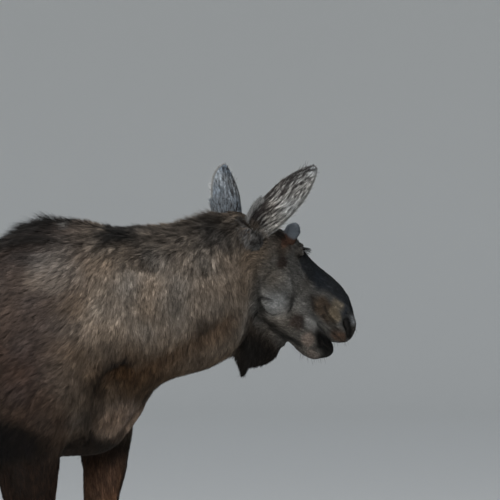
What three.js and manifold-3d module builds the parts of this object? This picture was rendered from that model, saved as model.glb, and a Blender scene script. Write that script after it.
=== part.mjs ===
// A young bull moose standing with its head turned to its left: a life-size still model.
// Millimetres, +Z up, +X the way the trunk faces, +Y the animal's left. The origin is on
// the floor, under the middle of the model's bounding box.
import * as THREE from "three";
import { mergeVertices } from "three/addons/utils/BufferGeometryUtils.js";
import Module from "manifold-3d";

const wasm = await Module();
wasm.setup();
const { Manifold, Mesh: SolidMesh } = wasm;

// Driving dimensions. X is measured from the withers while the animal is built.
const WITHERS_HEIGHT = 1752;
const GAP = 0.5; // the thin cut between neighbouring parts
const POLL = new THREE.Vector3(545, 215, 1734); // top of the head, between the ears
const HEAD_YAW = 62; // degrees to the left of the trunk
const HEAD_PITCH = 36; // degrees, nose down
const NECK_START_X = 90;
const NECK_LENGTH = 540; // along the neck's bend
const NECK_YAW = { start: 3, end: 50 };
const BREECH_X = -1265;
const LEG_Y = 146; // how far each foot stands from the middle
const FORELEG = { nearX: 0, farX: 108, farElbow: 18, farSlim: 0.7 };
const HINDLEG = { nearStep: -20, farStep: 95 };
const EYE = { along: 221, up: 24, side: 74, radius: 19 };
const BUD = { along: 165, up: 39, side: 77, radius: 24, length: 48, root: 26 };
const EAR = { along: 46, up: -42, side: 62, length: 292, width: 63, wall: 9, cut: 0.27 };
const HOOF_SPREAD = 27;

const deg = THREE.MathUtils.degToRad;
const vec = (x, y, z) => new THREE.Vector3(x, y, z);

// ---------- solids ----------

function solid(geometry) {
  const bare = geometry.clone();
  bare.deleteAttribute("normal");
  bare.deleteAttribute("uv");
  const merged = mergeVertices(bare, 1e-3);
  return new Manifold(
    new SolidMesh({
      numProp: 3,
      vertProperties: merged.attributes.position.array,
      triVerts: new Uint32Array(merged.index.array),
    }),
  );
}

function geometryOf(manifold) {
  const mesh = manifold.getMesh();
  return new THREE.BufferGeometry()
    .setAttribute("position", new THREE.BufferAttribute(mesh.vertProperties, 3))
    .setIndex(new THREE.BufferAttribute(mesh.triVerts, 1));
}

// Closes a row of rings, each an array of points, into one skin with a fan at each end.
function ringSkin(rings) {
  const sides = rings[0].length;
  const points = rings.flat();
  const middle = (ring) =>
    ring.reduce((sum, p) => sum.add(p), vec(0, 0, 0)).divideScalar(sides);
  points.push(middle(rings[0]), middle(rings[rings.length - 1]));
  const [first, last] = [points.length - 2, points.length - 1];
  const index = [];
  for (let r = 0; r < rings.length - 1; r++) {
    for (let s = 0; s < sides; s++) {
      const [a, b] = [r * sides + s, r * sides + ((s + 1) % sides)];
      index.push(a, b, a + sides, b, b + sides, a + sides);
    }
  }
  const lastRing = (rings.length - 1) * sides;
  for (let s = 0; s < sides; s++) {
    const next = (s + 1) % sides;
    index.push(first, next, s, last, lastRing + s, lastRing + next);
  }
  const flat = points.flatMap((p) => [p.x, p.y, p.z]);
  return new THREE.BufferGeometry()
    .setAttribute("position", new THREE.Float32BufferAttribute(flat, 3))
    .setIndex(index);
}

// A smooth value between the stations of a loft, by Catmull-Rom over their numbers.
function between(stations, key, t) {
  const i = Math.min(Math.floor(t), stations.length - 2);
  const f = t - i;
  const at = (n) => stations[Math.max(0, Math.min(stations.length - 1, n))][key];
  const [p0, p1, p2, p3] = [at(i - 1), at(i), at(i + 1), at(i + 2)];
  return (
    p1 +
    0.5 * f * (p2 - p0 + f * (2 * p0 - 5 * p1 + 4 * p2 - p3 + f * (3 * (p1 - p2) + p3 - p0)))
  );
}

// A body swept along local X. Each station is an upright section: its place x, y and yaw,
// its lowest, widest and highest level, its half width, and how boxy it is below (keel)
// and above (ridge) its widest level: 2 is an ellipse, less is sharper.
const STATION_DEFAULTS = { y: 0, yaw: 0, keel: 2, ridge: 2 };
function loft(rows, { sides = 20, perSpan = 2 } = {}) {
  const stations = rows.map((row) => ({ ...STATION_DEFAULTS, ...row }));
  const rings = [];
  const count = (stations.length - 1) * perSpan;
  for (let r = 0; r <= count; r++) {
    const t = r / perSpan;
    const v = (key) => between(stations, key, t);
    const half = Math.max(v("half"), 2);
    const across = vec(-Math.sin(deg(v("yaw"))), Math.cos(deg(v("yaw"))), 0);
    const ring = [];
    for (let s = 0; s < sides; s++) {
      const angle = (2 * Math.PI * (s + 0.5)) / sides;
      const [c, n] = [Math.cos(angle), Math.sin(angle)];
      const power = 2 / (n > 0 ? v("ridge") : v("keel"));
      const reach = n > 0 ? v("high") - v("wide") : v("wide") - v("low");
      const y = half * Math.sign(c) * Math.abs(c) ** power;
      const z = v("wide") + reach * Math.sign(n) * Math.abs(n) ** power;
      ring.push(across.clone().multiplyScalar(y).add(vec(v("x"), v("y"), z)));
    }
    rings.push(ring);
  }
  return ringSkin(rings);
}

function ellipsoid(centre, radii, sides = 12) {
  return new THREE.SphereGeometry(1, sides, Math.round(sides * 0.6))
    .scale(...radii)
    .translate(...centre);
}

function box(low, high) {
  const size = high.map((h, i) => h - low[i]);
  const centre = high.map((h, i) => (h + low[i]) / 2);
  return new THREE.BoxGeometry(...size).translate(...centre);
}

// ---------- frames ----------

// Head frame: X along the face towards the nose, Y to the animal's left, Z up off the brow.
const headFrame = new THREE.Matrix4()
  .makeTranslation(POLL.x, POLL.y, POLL.z)
  .multiply(new THREE.Matrix4().makeRotationZ(deg(HEAD_YAW)))
  .multiply(new THREE.Matrix4().makeRotationY(deg(HEAD_PITCH)));

// Limb frame: local X runs down, local Z forward and local Y to the left.
const limbFrame = new THREE.Matrix4().makeBasis(vec(0, 0, -1), vec(0, 1, 0), vec(1, 0, 0));

const inHead = (geometry) => geometry.clone().applyMatrix4(headFrame);

// ---------- trunk and neck ----------

// A point on the neck's bend, at a distance along it.
function neckAt(distance) {
  const rate = deg(NECK_YAW.end - NECK_YAW.start) / NECK_LENGTH;
  const start = deg(NECK_YAW.start);
  const yaw = start + rate * distance;
  return {
    x: NECK_START_X + (Math.sin(yaw) - Math.sin(start)) / rate,
    y: (Math.cos(start) - Math.cos(yaw)) / rate,
    yaw: THREE.MathUtils.radToDeg(yaw),
  };
}

function trunkAndNeck() {
  const trunk = [
    { x: BREECH_X, low: 1215, wide: 1280, high: 1345, half: 60 },
    { x: -1238, low: 1120, wide: 1270, high: 1428, half: 132 },
    { x: -1180, low: 1075, wide: 1255, high: 1488, half: 184 },
    { x: -1080, low: 1055, wide: 1255, high: 1530, half: 222, ridge: 1.9 },
    { x: -940, low: 1040, wide: 1250, high: 1548, half: 240, ridge: 1.8 },
    { x: -770, low: 1000, wide: 1235, high: 1552, half: 254, ridge: 1.85 },
    { x: -590, low: 962, wide: 1225, high: 1565, half: 274, ridge: 1.9 },
    { x: -400, low: 944, wide: 1215, high: 1592, half: 280, ridge: 1.85 },
    { x: -220, low: 944, wide: 1205, high: 1640, half: 266, ridge: 1.65 },
    { x: -90, low: 958, wide: 1205, high: 1726, half: 248, ridge: 1.5 },
    { x: 0, low: 972, wide: 1210, high: WITHERS_HEIGHT, half: 238, ridge: 1.42 },
  ];
  const neck = [
    { s: 0, low: 980, wide: 1245, high: 1742, half: 226, ridge: 1.45 },
    { s: 75, low: 985, wide: 1290, high: 1725, half: 212, ridge: 1.55 },
    { s: 140, low: 1014, wide: 1345, high: 1714, half: 196, ridge: 1.65 },
    { s: 200, low: 1098, wide: 1400, high: 1711, half: 178, ridge: 1.7 },
    { s: 275, low: 1202, wide: 1440, high: 1714, half: 158, ridge: 1.75 },
    { s: 350, low: 1231, wide: 1465, high: 1724, half: 144, ridge: 1.8 },
    { s: 420, low: 1250, wide: 1485, high: 1742, half: 130, ridge: 1.8 },
    { s: 480, low: 1278, wide: 1510, high: 1749, half: 114, ridge: 1.8 },
    { s: 540, low: 1340, wide: 1545, high: 1742, half: 92 },
    { s: 590, low: 1430, wide: 1570, high: 1690, half: 56 },
  ].map(({ s, ...section }) => ({ ...neckAt(s), ...section }));
  return loft([...trunk, ...neck], { sides: 20, perSpan: 2 });
}

function tail() {
  const rows = [
    { x: -1470, low: -1240, wide: -1215, high: -1190, half: 18 },
    { x: -1440, low: -1262, wide: -1235, high: -1195, half: 34 },
    { x: -1400, low: -1284, wide: -1255, high: -1205, half: 38 },
    { x: -1350, low: -1300, wide: -1272, high: -1225, half: 36 },
    { x: -1305, low: -1304, wide: -1284, high: -1245, half: 27 },
    { x: -1270, low: -1298, wide: -1286, high: -1268, half: 12 },
  ];
  return loft(rows, { sides: 10, perSpan: 1 }).applyMatrix4(limbFrame);
}

// ---------- limbs ----------

// Sections of a limb from the top down: height z, rear and front X, centre y, half width.
function limb(rows, { side, shift, slim, perSpan = 1, sides = 10 }) {
  const stations = rows.map(([z, back, front, y, half]) => {
    const [middle, reach] = [(back + front) / 2 + shift(z), ((front - back) / 2) * slim(z)];
    return {
      x: -z,
      y: side * y,
      low: middle - reach,
      wide: middle,
      high: middle + reach,
      half: half * Math.sqrt(slim(z)),
      keel: 2.2,
      ridge: 2.2,
    };
  });
  return loft(stations, { sides, perSpan }).applyMatrix4(limbFrame);
}

const FORELEG_ROWS = [
  [1590, -60, 50, 96, 20],
  [1535, -105, 100, 110, 42],
  [1430, -138, 160, 142, 60],
  [1290, -150, 202, 172, 74],
  [1170, -150, 212, 180, 80],
  [1080, -148, 172, 174, 78],
  [1005, -134, 126, 164, 70],
  [935, -106, 110, 156, 60],
  [850, -82, 96, 151, 52],
  [750, -60, 70, 148, 46],
  [650, -50, 52, 146, 42],
  [585, -49, 56, 146, 45],
  [535, -50, 55, 146, 44],
  [470, -43, 38, 146, 35],
  [370, -37, 28, 146, 30],
  [255, -36, 27, 146, 30],
  [195, -44, 33, 146, 37],
  [150, -41, 45, 146, 37],
  [105, -30, 68, 146, 40],
  [50, -14, 84, 146, 42],
];

const HINDLEG_ROWS = [
  [1480, -1190, -1010, 70, 30],
  [1410, -1232, -950, 106, 70],
  [1300, -1260, -892, 136, 100],
  [1180, -1268, -852, 146, 114],
  [1080, -1262, -858, 148, 106],
  [1000, -1254, -902, 148, 90],
  [925, -1248, -985, 147, 72],
  [855, -1252, -1066, 146, 58],
  [795, -1267, -1122, 146, 49],
  [742, -1286, -1158, 146, 45],
  [690, -1290, -1174, 146, 45],
  [630, -1276, -1178, 146, 43],
  [560, -1246, -1172, 146, 35],
  [430, -1228, -1160, 146, 31],
  [290, -1214, -1146, 146, 30],
  [215, -1212, -1134, 146, 36],
  [175, -1206, -1122, 146, 38],
  [110, -1182, -1086, 146, 40],
  [50, -1164, -1066, 146, 42],
];

const blend = (z, top, bottom) => THREE.MathUtils.smoothstep(top - z, 0, top - bottom);

// The four limbs: name, which side, rows, how far each level stands forward, and slimness.
const LIMBS = [
  {
    name: "foreleg_right",
    side: -1,
    rows: FORELEG_ROWS,
    footX: FORELEG.nearX,
    shift: (z) => FORELEG.nearX * blend(z, 1400, 900),
    slim: () => 1,
    hoofX: 24,
  },
  {
    name: "foreleg_left",
    side: 1,
    rows: FORELEG_ROWS,
    footX: FORELEG.farX,
    shift: (z) =>
      FORELEG.farX * blend(z, 1330, 960) +
      FORELEG.farElbow * (blend(z, 1100, 1000) - blend(z, 970, 850)),
    slim: (z) =>
      1 - (1 - FORELEG.farSlim) * blend(z, 1250, 1000) * (1 - blend(z, 840, 640)),
    hoofX: 24,
  },
  {
    name: "hindleg_right",
    side: -1,
    rows: HINDLEG_ROWS,
    footX: HINDLEG.nearStep,
    shift: (z) => HINDLEG.nearStep * blend(z, 1150, 300),
    slim: () => 1,
    hoofX: -1128,
  },
  {
    name: "hindleg_left",
    side: 1,
    rows: HINDLEG_ROWS,
    footX: HINDLEG.farStep,
    shift: (z) => HINDLEG.farStep * blend(z, 1150, 300),
    slim: () => 1,
    hoofX: -1128,
  },
];

// One toe's hoof, flat below, pointing along +X, with every outline moved out by grow.
function hoof(grow) {
  const rows = [
    { x: -52 - grow, high: 26, half: 13 },
    { x: -34, high: 54, half: 22 },
    { x: -4, high: 72, half: 26 },
    { x: 28, high: 76, half: 27 },
    { x: 60, high: 58, half: 25 },
    { x: 88, high: 36, half: 18 },
    { x: 106 + grow, high: 16, half: 7 },
  ].map((row) => ({
    ...row,
    low: -grow,
    wide: -grow,
    high: row.high + grow,
    half: row.half + grow,
    ridge: 2.6,
  }));
  return loft(rows, { sides: 8, perSpan: 1 });
}

function dewclaw(grow) {
  const rows = [
    { x: 0, low: -8, wide: 0, high: 8, half: 8 },
    { x: 14, low: -13, wide: 0, high: 13, half: 12 },
    { x: 34, low: -12, wide: 0, high: 11, half: 11 },
    { x: 52, low: -5, wide: -1, high: 3, half: 4 },
  ].map((row) => ({
    ...row,
    low: row.low - grow,
    high: row.high + grow,
    half: row.half + grow,
  }));
  return loft(rows, { sides: 6, perSpan: 1 });
}

// Where one toe's hoof and dewclaw stand on a limb.
function toePlaces(leg) {
  return [-1, 1].map((toe) => {
    const x = leg.hoofX + leg.footX;
    const y = leg.side * LEG_Y + toe * HOOF_SPREAD;
    const name = toe === leg.side ? "outer" : "inner";
    const splay = new THREE.Matrix4().makeRotationZ(deg(4 * toe));
    const at = new THREE.Matrix4().makeTranslation(x, y, 0).multiply(splay);
    const lean = new THREE.Matrix4().makeRotationY(deg(38));
    const clawAt = new THREE.Matrix4()
      .makeTranslation(x - 78, y + toe * 2, 100)
      .multiply(lean);
    return { name, at, clawAt };
  });
}

// ---------- head ----------

function upperHead() {
  const rows = [
    { x: -48, low: -130, wide: -75, high: -38, half: 40 },
    { x: -14, low: -188, wide: -72, high: -6, half: 80 },
    { x: 45, low: -212, wide: -60, high: 26, half: 92, ridge: 2.1 },
    { x: 105, low: -219, wide: -45, high: 51, half: 96, ridge: 2.2 },
    { x: 165, low: -221, wide: -30, high: 66, half: 94, ridge: 2.3 },
    { x: 222, low: -217, wide: -25, high: 73, half: 86, ridge: 2.2 },
    { x: 278, low: -209, wide: -35, high: 71, half: 73, ridge: 2.0 },
    { x: 330, low: -190, wide: -45, high: 69, half: 63, ridge: 2.0 },
    { x: 378, low: -152, wide: -40, high: 71, half: 59, ridge: 2.1 },
    { x: 425, low: -116, wide: -30, high: 75, half: 61, ridge: 2.2 },
    { x: 470, low: -99, wide: -28, high: 75, half: 65, ridge: 2.2 },
    { x: 512, low: -95, wide: -32, high: 64, half: 67, keel: 2.4, ridge: 2.2 },
    { x: 548, low: -90, wide: -38, high: 40, half: 64, keel: 2.5, ridge: 2.2 },
    { x: 578, low: -83, wide: -42, high: 7, half: 56, keel: 2.4, ridge: 2.2 },
    { x: 597, low: -70, wide: -44, high: -16, half: 42 },
    { x: 605, low: -56, wide: -42, high: -30, half: 20 },
  ];
  return loft(rows, { sides: 16, perSpan: 1 });
}

function lowerJaw() {
  const rows = [
    { x: 250, low: -180, wide: -150, high: -120, half: 30 },
    { x: 290, low: -205, wide: -145, high: -90, half: 52 },
    { x: 345, low: -204, wide: -142, high: -80, half: 54 },
    { x: 400, low: -198, wide: -142, high: -80, half: 51 },
    { x: 450, low: -194, wide: -140, high: -84, half: 48 },
    { x: 497, low: -193, wide: -140, high: -88, half: 45 },
    { x: 534, low: -181, wide: -136, high: -92, half: 39 },
    { x: 559, low: -153, wide: -126, high: -98, half: 25 },
    { x: 568, low: -134, wide: -118, high: -104, half: 9 },
  ];
  return loft(rows, { sides: 12, perSpan: 1 });
}

const SIDES = [
  { name: "left", sign: 1 },
  { name: "right", sign: -1 },
];

// Cheek, brow and nostril wing on one side of the head.
function faceMasses(sign) {
  return [
    ellipsoid([235, sign * 52, -122], [92, 32, 82], 9),
    ellipsoid([205, sign * 64, 30], [45, 18, 24], 8),
    ellipsoid([548, sign * 42, -26], [40, 26, 36], 8),
  ];
}

function nostril(sign) {
  return ellipsoid([550, sign * 69, -35], [20, 13, 9], 8);
}

function eye(sign, grow) {
  const r = EYE.radius + grow;
  return ellipsoid([EYE.along, sign * EYE.side, EYE.up], [r, r, r], 12);
}

// A short rounded antler bud, lying outwards and up from the skull.
function antlerBud(sign, grow) {
  const r = BUD.radius + grow;
  const dome = new THREE.Path();
  const swell = BUD.length * 0.35; // where the knob is widest
  dome.moveTo(0, -BUD.root - grow);
  dome.lineTo(r * 0.8, -BUD.root - grow);
  dome.lineTo(r, swell);
  dome.absellipse(0, swell, r, BUD.length - swell + grow, 0, Math.PI / 2, false);
  const profile = dome.getPoints(3);
  const way = vec(-0.3, sign * 0.5, 0.75).normalize();
  return new THREE.LatheGeometry(profile, 10)
    .applyQuaternion(new THREE.Quaternion().setFromUnitVectors(vec(0, 1, 0), way))
    .translate(BUD.along, sign * BUD.side, BUD.up);
}

// An ear: a cupped leaf. Its axis and the way it opens are set in the head frame.
function ear({ axis, opening, sign }) {
  const up = vec(...axis).normalize();
  const open = vec(...opening);
  open.addScaledVector(up, -open.dot(up)).normalize();
  const across = new THREE.Vector3().crossVectors(open, up);
  const base = vec(EAR.along, sign * EAR.side, EAR.up);
  const rows = [
    // along the ear: chord half width, cup depth, wall
    { x: -0.12, half: 0.62, depth: 0.56, wall: 1.6 },
    { x: 0.06, half: 0.8, depth: 0.62, wall: 1.6 },
    { x: 0.2, half: 0.96, depth: 0.66, wall: 1.2 },
    { x: 0.36, half: 1.04, depth: 0.6, wall: 1.0 },
    { x: 0.52, half: 1.04, depth: 0.5, wall: 0.9 },
    { x: 0.68, half: 0.94, depth: 0.4, wall: 0.9 },
    { x: 0.82, half: 0.7, depth: 0.28, wall: 0.85 },
    { x: 0.92, half: 0.44, depth: 0.18, wall: 0.8 },
    { x: 1.0, half: 0.14, depth: 0.07, wall: 0.6 },
  ];
  const ARC_STEPS = 5;
  const rings = rows.map(({ x, half, depth, wall }) => {
    const centre = base.clone().addScaledVector(up, x * EAR.length);
    const point = (h, d) =>
      centre.clone().addScaledVector(across, h).addScaledVector(open, d);
    const ring = [];
    for (const inner of [0, 1]) {
      for (let i = 0; i <= ARC_STEPS; i++) {
        const f = inner ? i / ARC_STEPS : 1 - i / ARC_STEPS;
        const angle = Math.PI * f;
        const thick = inner * EAR.wall * wall;
        const h = (half * EAR.width - thick * 0.8) * Math.cos(angle);
        const d = -(depth * EAR.width - thick) * Math.sin(angle) + inner * 1.5;
        ring.push(point(h, d));
      }
    }
    return ring;
  });
  return ringSkin(rings);
}

const EARS = [
  { name: "ear_right", sign: -1, axis: [0, -0.44, 0.9], opening: [0.94, 0.34, 0] },
  { name: "ear_left", sign: 1, axis: [-0.12, 0.5, 0.86], opening: [0, 0.99, 0] },
];

// The bell: a flap under the throat with a short tassel at its rear.
function dewlap() {
  const rows = [
    { x: 30, low: -60, wide: 70, high: 205, half: 33 },
    { x: 90, low: -25, wide: 80, high: 222, half: 31 },
    { x: 128, low: -14, wide: 80, high: 190, half: 27 },
    { x: 156, low: -4, wide: 76, high: 164, half: 21 },
    { x: 172, low: 8, wide: 60, high: 125, half: 13 },
    { x: 180, low: 20, wide: 45, high: 80, half: 5 },
  ];
  return loft(rows, { sides: 12, perSpan: 1 });
}

function tassel() {
  const rows = [
    { x: 110, low: -10, wide: 25, high: 62, half: 18 },
    { x: 160, low: 2, wide: 28, high: 56, half: 15 },
    { x: 186, low: 12, wide: 28, high: 44, half: 10 },
    { x: 210, low: 22, wide: 28, high: 34, half: 4 },
  ];
  return loft(rows, { sides: 10, perSpan: 1 });
}

// The bell hangs straight down under the throat: local X runs down and local Z forward.
const BELL_DROP = 300;
const bellFrame = new THREE.Matrix4()
  .makeTranslation(POLL.x, POLL.y, POLL.z - BELL_DROP)
  .multiply(new THREE.Matrix4().makeRotationZ(deg(HEAD_YAW)))
  .multiply(limbFrame);

// ---------- assembly ----------

const MATERIALS = {
  coat: new THREE.MeshStandardMaterial({ color: 0x4c3f36, roughness: 0.9, metalness: 0 }),
  leg: new THREE.MeshStandardMaterial({ color: 0x6a5a4d, roughness: 0.9, metalness: 0 }),
  ear: new THREE.MeshStandardMaterial({ color: 0x77726c, roughness: 0.9, metalness: 0 }),
  hoof: new THREE.MeshStandardMaterial({ color: 0x26221f, roughness: 0.5, metalness: 0 }),
  eye: new THREE.MeshStandardMaterial({ color: 0x120c09, roughness: 0.08, metalness: 0 }),
  velvet: new THREE.MeshStandardMaterial({ color: 0x5a4a42, roughness: 0.8, metalness: 0 }),
};

const moose = new THREE.Group();
const placed = [];

function add(name, manifold, material) {
  const mesh = new THREE.Mesh(geometryOf(manifold), MATERIALS[material]);
  mesh.name = name;
  placed.push(mesh);
}

// Takes what lies inside every one of the boxes out of the flesh, with a thin cut round it.
let flesh;
function take(name, material, ...boxes) {
  const region = (grow) =>
    boxes
      .map(({ low, high, frame }) => {
        const grown = box(low.map((v) => v - grow), high.map((v) => v + grow));
        return solid(frame ? grown.applyMatrix4(frame) : grown);
      })
      .reduce((a, b) => a.intersect(b));
  add(name, largest(flesh.intersect(region(0))), material);
  flesh = flesh.subtract(region(GAP));
}

function largest(manifold) {
  return manifold.decompose().sort((a, b) => b.volume() - a.volume())[0];
}

const join = (geometries) => geometries.map(solid).reduce((a, b) => a.add(b));
const remove = (geometries) => {
  flesh = geometries.map(solid).reduce((a, b) => a.subtract(b), flesh);
};

flesh = join([
  trunkAndNeck(),
  tail(),
  ...LIMBS.map((leg) => limb(leg.rows, leg)),
  ...[upperHead(), lowerJaw(), ...SIDES.flatMap(({ sign }) => faceMasses(sign))].map(inHead),
  ...[dewlap(), tassel()].map((g) => g.applyMatrix4(bellFrame)),
  ...EARS.map((one) => inHead(ear(one))),
]);

// Eyes, buds and nostrils are let into the head.
for (const { name, sign } of SIDES) {
  add(`eye_${name}`, solid(inHead(eye(sign, 0))), "eye");
  add(`antler_bud_${name}`, solid(inHead(antlerBud(sign, 0))), "velvet");
  remove([eye(sign, GAP), antlerBud(sign, GAP), nostril(sign)].map(inHead));
}

// Hooves and dewclaws are let into the feet.
for (const leg of LIMBS) {
  for (const { name, at, clawAt } of toePlaces(leg)) {
    add(`hoof_${leg.name}_${name}`, solid(hoof(0).applyMatrix4(at)), "hoof");
    add(`dewclaw_${leg.name}_${name}`, solid(dewclaw(0).applyMatrix4(clawAt)), "hoof");
    remove([hoof(GAP).applyMatrix4(at), dewclaw(GAP).applyMatrix4(clawAt)]);
  }
}
const FOOT_LEVEL = 30; // nothing of the flesh reaches lower, between the hooves
remove([box([-2000, -600, -50], [2000, 600, FOOT_LEVEL])]);

// Ears, parted by a cut across each base.
for (const { name, sign, axis } of EARS) {
  const turn = new THREE.Quaternion().setFromUnitVectors(vec(0, 0, 1), vec(...axis).normalize());
  const frame = headFrame
    .clone()
    .multiply(new THREE.Matrix4().makeTranslation(EAR.along, sign * EAR.side, EAR.up))
    .multiply(new THREE.Matrix4().makeRotationFromQuaternion(turn));
  take(name, "ear", {
    low: [-90, -90, EAR.cut * EAR.length],
    high: [90, 90, 1.2 * EAR.length],
    frame,
  });
}

// The bell comes off below the jaw, the lower jaw along the mouth, then the whole head
// by an upright cut behind the ears and the angle of the jaw.
take(
  "dewlap",
  "coat",
  { low: [0, -90, -450], high: [470, 90, -228], frame: headFrame },
  { low: [-400, -100, -38], high: [400, 100, 600], frame: bellFrame },
);
take("lower_jaw", "coat", { low: [385, -120, -300], high: [640, 120, -95], frame: headFrame });
const behindHead = new THREE.Matrix4()
  .makeTranslation(POLL.x, POLL.y, POLL.z)
  .multiply(new THREE.Matrix4().makeRotationZ(deg(HEAD_YAW)))
  .multiply(new THREE.Matrix4().makeRotationY(deg(-7)));
take("head", "coat", { low: [-32, -250, -480], high: [600, 250, 220], frame: behindHead });

// The neck ends at the shoulder in an upright cut across it.
const neckCut = neckAt(150);
const neckFrame = new THREE.Matrix4()
  .makeTranslation(neckCut.x, neckCut.y, 0)
  .multiply(new THREE.Matrix4().makeRotationZ(deg(neckCut.yaw)));
take("neck", "coat", { low: [0, -420, 1120], high: [900, 600, 2000], frame: neckFrame });

// Each leg comes off along a slope from the groin or armpit up its outer side.
const LEG_CUTS = {
  foreleg: { front: 290, back: -170, inner: 1000, slope: 42, knee: 560 },
  hindleg: { front: -830, back: -1500, inner: 1030, slope: 48, knee: 690 },
};
for (const leg of LIMBS) {
  const cut = LEG_CUTS[leg.name.split("_")[0]];
  const [inner, outer] = leg.side > 0 ? [0, 600] : [-600, 0];
  const flank = { low: [cut.back, inner, -50], high: [cut.front, outer, 1600] };
  const below = { low: [cut.back, inner, -50], high: [cut.front, outer, cut.knee] };
  take(`${leg.name}_shank`, "leg", below);
  const slope = new THREE.Matrix4()
    .makeTranslation(0, leg.side * 40, cut.inner)
    .multiply(new THREE.Matrix4().makeRotationX(deg(leg.side * cut.slope)));
  take(leg.name, "coat", flank, {
    low: [cut.back - 50, -1500, -2000],
    high: [cut.front + 50, 1500, 0],
    frame: slope,
  });
}

take("tail", "coat", { low: [-1500, -120, 1200], high: [BREECH_X - 6, 120, 1440] });
add("trunk", largest(flesh), "coat");

// The origin goes under the middle of the bounding box.
const bounds = new THREE.Box3();
for (const mesh of placed) {
  mesh.geometry.computeBoundingBox();
  bounds.union(mesh.geometry.boundingBox);
}
const middle = bounds.getCenter(vec(0, 0, 0));
for (const mesh of placed) {
  mesh.geometry.translate(-middle.x, -middle.y, 0);
  moose.add(mesh);
}

export default moose;
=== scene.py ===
"""A young bull moose standing with its head turned to its left, as a still life-size model.

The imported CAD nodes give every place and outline. One skin replaces the nodes of flesh and
lies inside them by the depth of the coat; tufts of hair are solid blades over that skin.
Metres throughout. The body frame has X forward of the withers, Y left of the spine and Z up
from the floor; the head frame runs along the face, to the animal's left, and up off the brow.
"""

import math

import bmesh
import bpy
import numpy as np
from mathutils import Matrix, Vector
from mathutils.bvhtree import BVHTree


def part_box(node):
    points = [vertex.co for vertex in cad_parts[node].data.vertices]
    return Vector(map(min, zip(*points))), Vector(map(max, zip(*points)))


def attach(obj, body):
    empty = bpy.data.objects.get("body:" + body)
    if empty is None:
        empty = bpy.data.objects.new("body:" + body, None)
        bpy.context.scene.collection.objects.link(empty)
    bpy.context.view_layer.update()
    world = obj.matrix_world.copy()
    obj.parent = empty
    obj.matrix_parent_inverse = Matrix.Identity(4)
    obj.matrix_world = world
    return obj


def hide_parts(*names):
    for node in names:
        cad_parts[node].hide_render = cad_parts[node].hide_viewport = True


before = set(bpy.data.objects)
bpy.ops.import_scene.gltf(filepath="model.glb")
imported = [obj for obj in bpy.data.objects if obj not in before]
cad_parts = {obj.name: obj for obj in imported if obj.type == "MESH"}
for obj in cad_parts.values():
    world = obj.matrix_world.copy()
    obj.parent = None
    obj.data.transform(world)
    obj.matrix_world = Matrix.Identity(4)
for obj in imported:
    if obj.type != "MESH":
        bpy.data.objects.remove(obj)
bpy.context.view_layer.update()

# ---------- driving dimensions ----------

POLL = np.array([0.545, 0.215, 1.734])  # top of the head, in the body frame
HEAD_YAW, HEAD_PITCH = math.radians(62), math.radians(36)
EYE = {"along": 0.221, "side": 0.074, "up": 0.024, "radius": 0.019}
BUD = {"along": 0.165, "side": 0.077, "up": 0.039}
BUD_WAY = (-0.30, 0.50, 0.75)
EAR = {"along": 0.046, "side": 0.062, "up": -0.042, "length": 0.292, "width": 0.063}
EAR_SET = {  # which side, the way the ear points, and the way it opens, in the head frame
    "right": (-1, (0.0, -0.44, 0.90), (0.94, 0.34, 0.0)),
    "left": (1, (-0.12, 0.50, 0.86), (0.0, 0.99, 0.0)),
}
NECK_START_X, NECK_LENGTH = 0.090, 0.540
NECK_YAW = (math.radians(3), math.radians(50))
NECK_MIDDLE = (1.36, 1.55)  # height of the neck's middle at its two ends
LEG_SIDE = 0.146

VOXEL = 0.010
SKIN_SWELL = 0.001
SEED = 7

CAMERA = {"azimuth": 22, "target": (0.585, 0.237, 1.625), "distance": 12.0, "span": 1.5625}

# ---------- numbers and noise ----------


def smooth(low, high, x):
    """0 below low, 1 above high, and a smooth step between."""
    t = np.clip((x - low) / (high - low), 0, 1)
    return t * t * (3 - 2 * t)


def unit(v):
    return v / np.maximum(np.linalg.norm(v, axis=-1, keepdims=True), 1e-9)


def mix(a, b, share):
    """a to b, by a share for each row."""
    return a + (b - a) * np.asarray(share)[..., None]


def tone(red, green, blue):
    """A colour given in 0 to 255 display values, as linear light."""
    c = np.array([red, green, blue]) / 255
    return np.where(c <= 0.04045, c / 12.92, ((c + 0.055) / 1.055) ** 2.4)


def lattice(cell, seed):
    """A fixed random number from 0 to 1 for each cell of a grid."""
    with np.errstate(over="ignore"):
        h = cell[..., 0] * 374761393 + cell[..., 1] * 668265263 + cell[..., 2] * 1274126177
        h = (h + seed * 974634777) & 0xFFFFFFFF
        h = ((h ^ (h >> 13)) * 1103515245) & 0xFFFFFFFF
        h = ((h ^ (h >> 15)) * 1274126177) & 0xFFFFFFFF
    return ((h ^ (h >> 16)) & 0xFFFFFF) / 0xFFFFFF


def noise(p, size, seed=0):
    """Smooth value noise from -1 to 1, with features of that size."""
    q = p / size + 1000.0
    cell = np.floor(q).astype(np.int64)
    f = q - cell
    f = f * f * (3 - 2 * f)
    total = np.zeros(len(p))
    for corner in np.ndindex(2, 2, 2):
        offset = np.array(corner)
        weight = np.prod(np.where(offset == 1, f, 1 - f), axis=1)
        total += weight * lattice(cell + offset, seed)
    return 2 * total - 1


def noise_vector(p, size, seed=0):
    return np.stack([noise(p, size, seed + k * 17) for k in range(3)], axis=1)


def spline(xs, ys, x):
    """A smooth curve through the points (xs, ys)."""
    xs, ys = np.asarray(xs, float), np.asarray(ys, float)
    slope = np.gradient(ys, xs)
    x = np.clip(x, xs[0], xs[-1])
    i = np.clip(np.searchsorted(xs, x) - 1, 0, len(xs) - 2)
    h = xs[i + 1] - xs[i]
    t = (x - xs[i]) / h
    a = (1 + 2 * t) * (1 - t) ** 2 * ys[i] + t * t * (3 - 2 * t) * ys[i + 1]
    return a + h * (t * (1 - t) ** 2 * slope[i] - t * t * (1 - t) * slope[i + 1])


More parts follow.
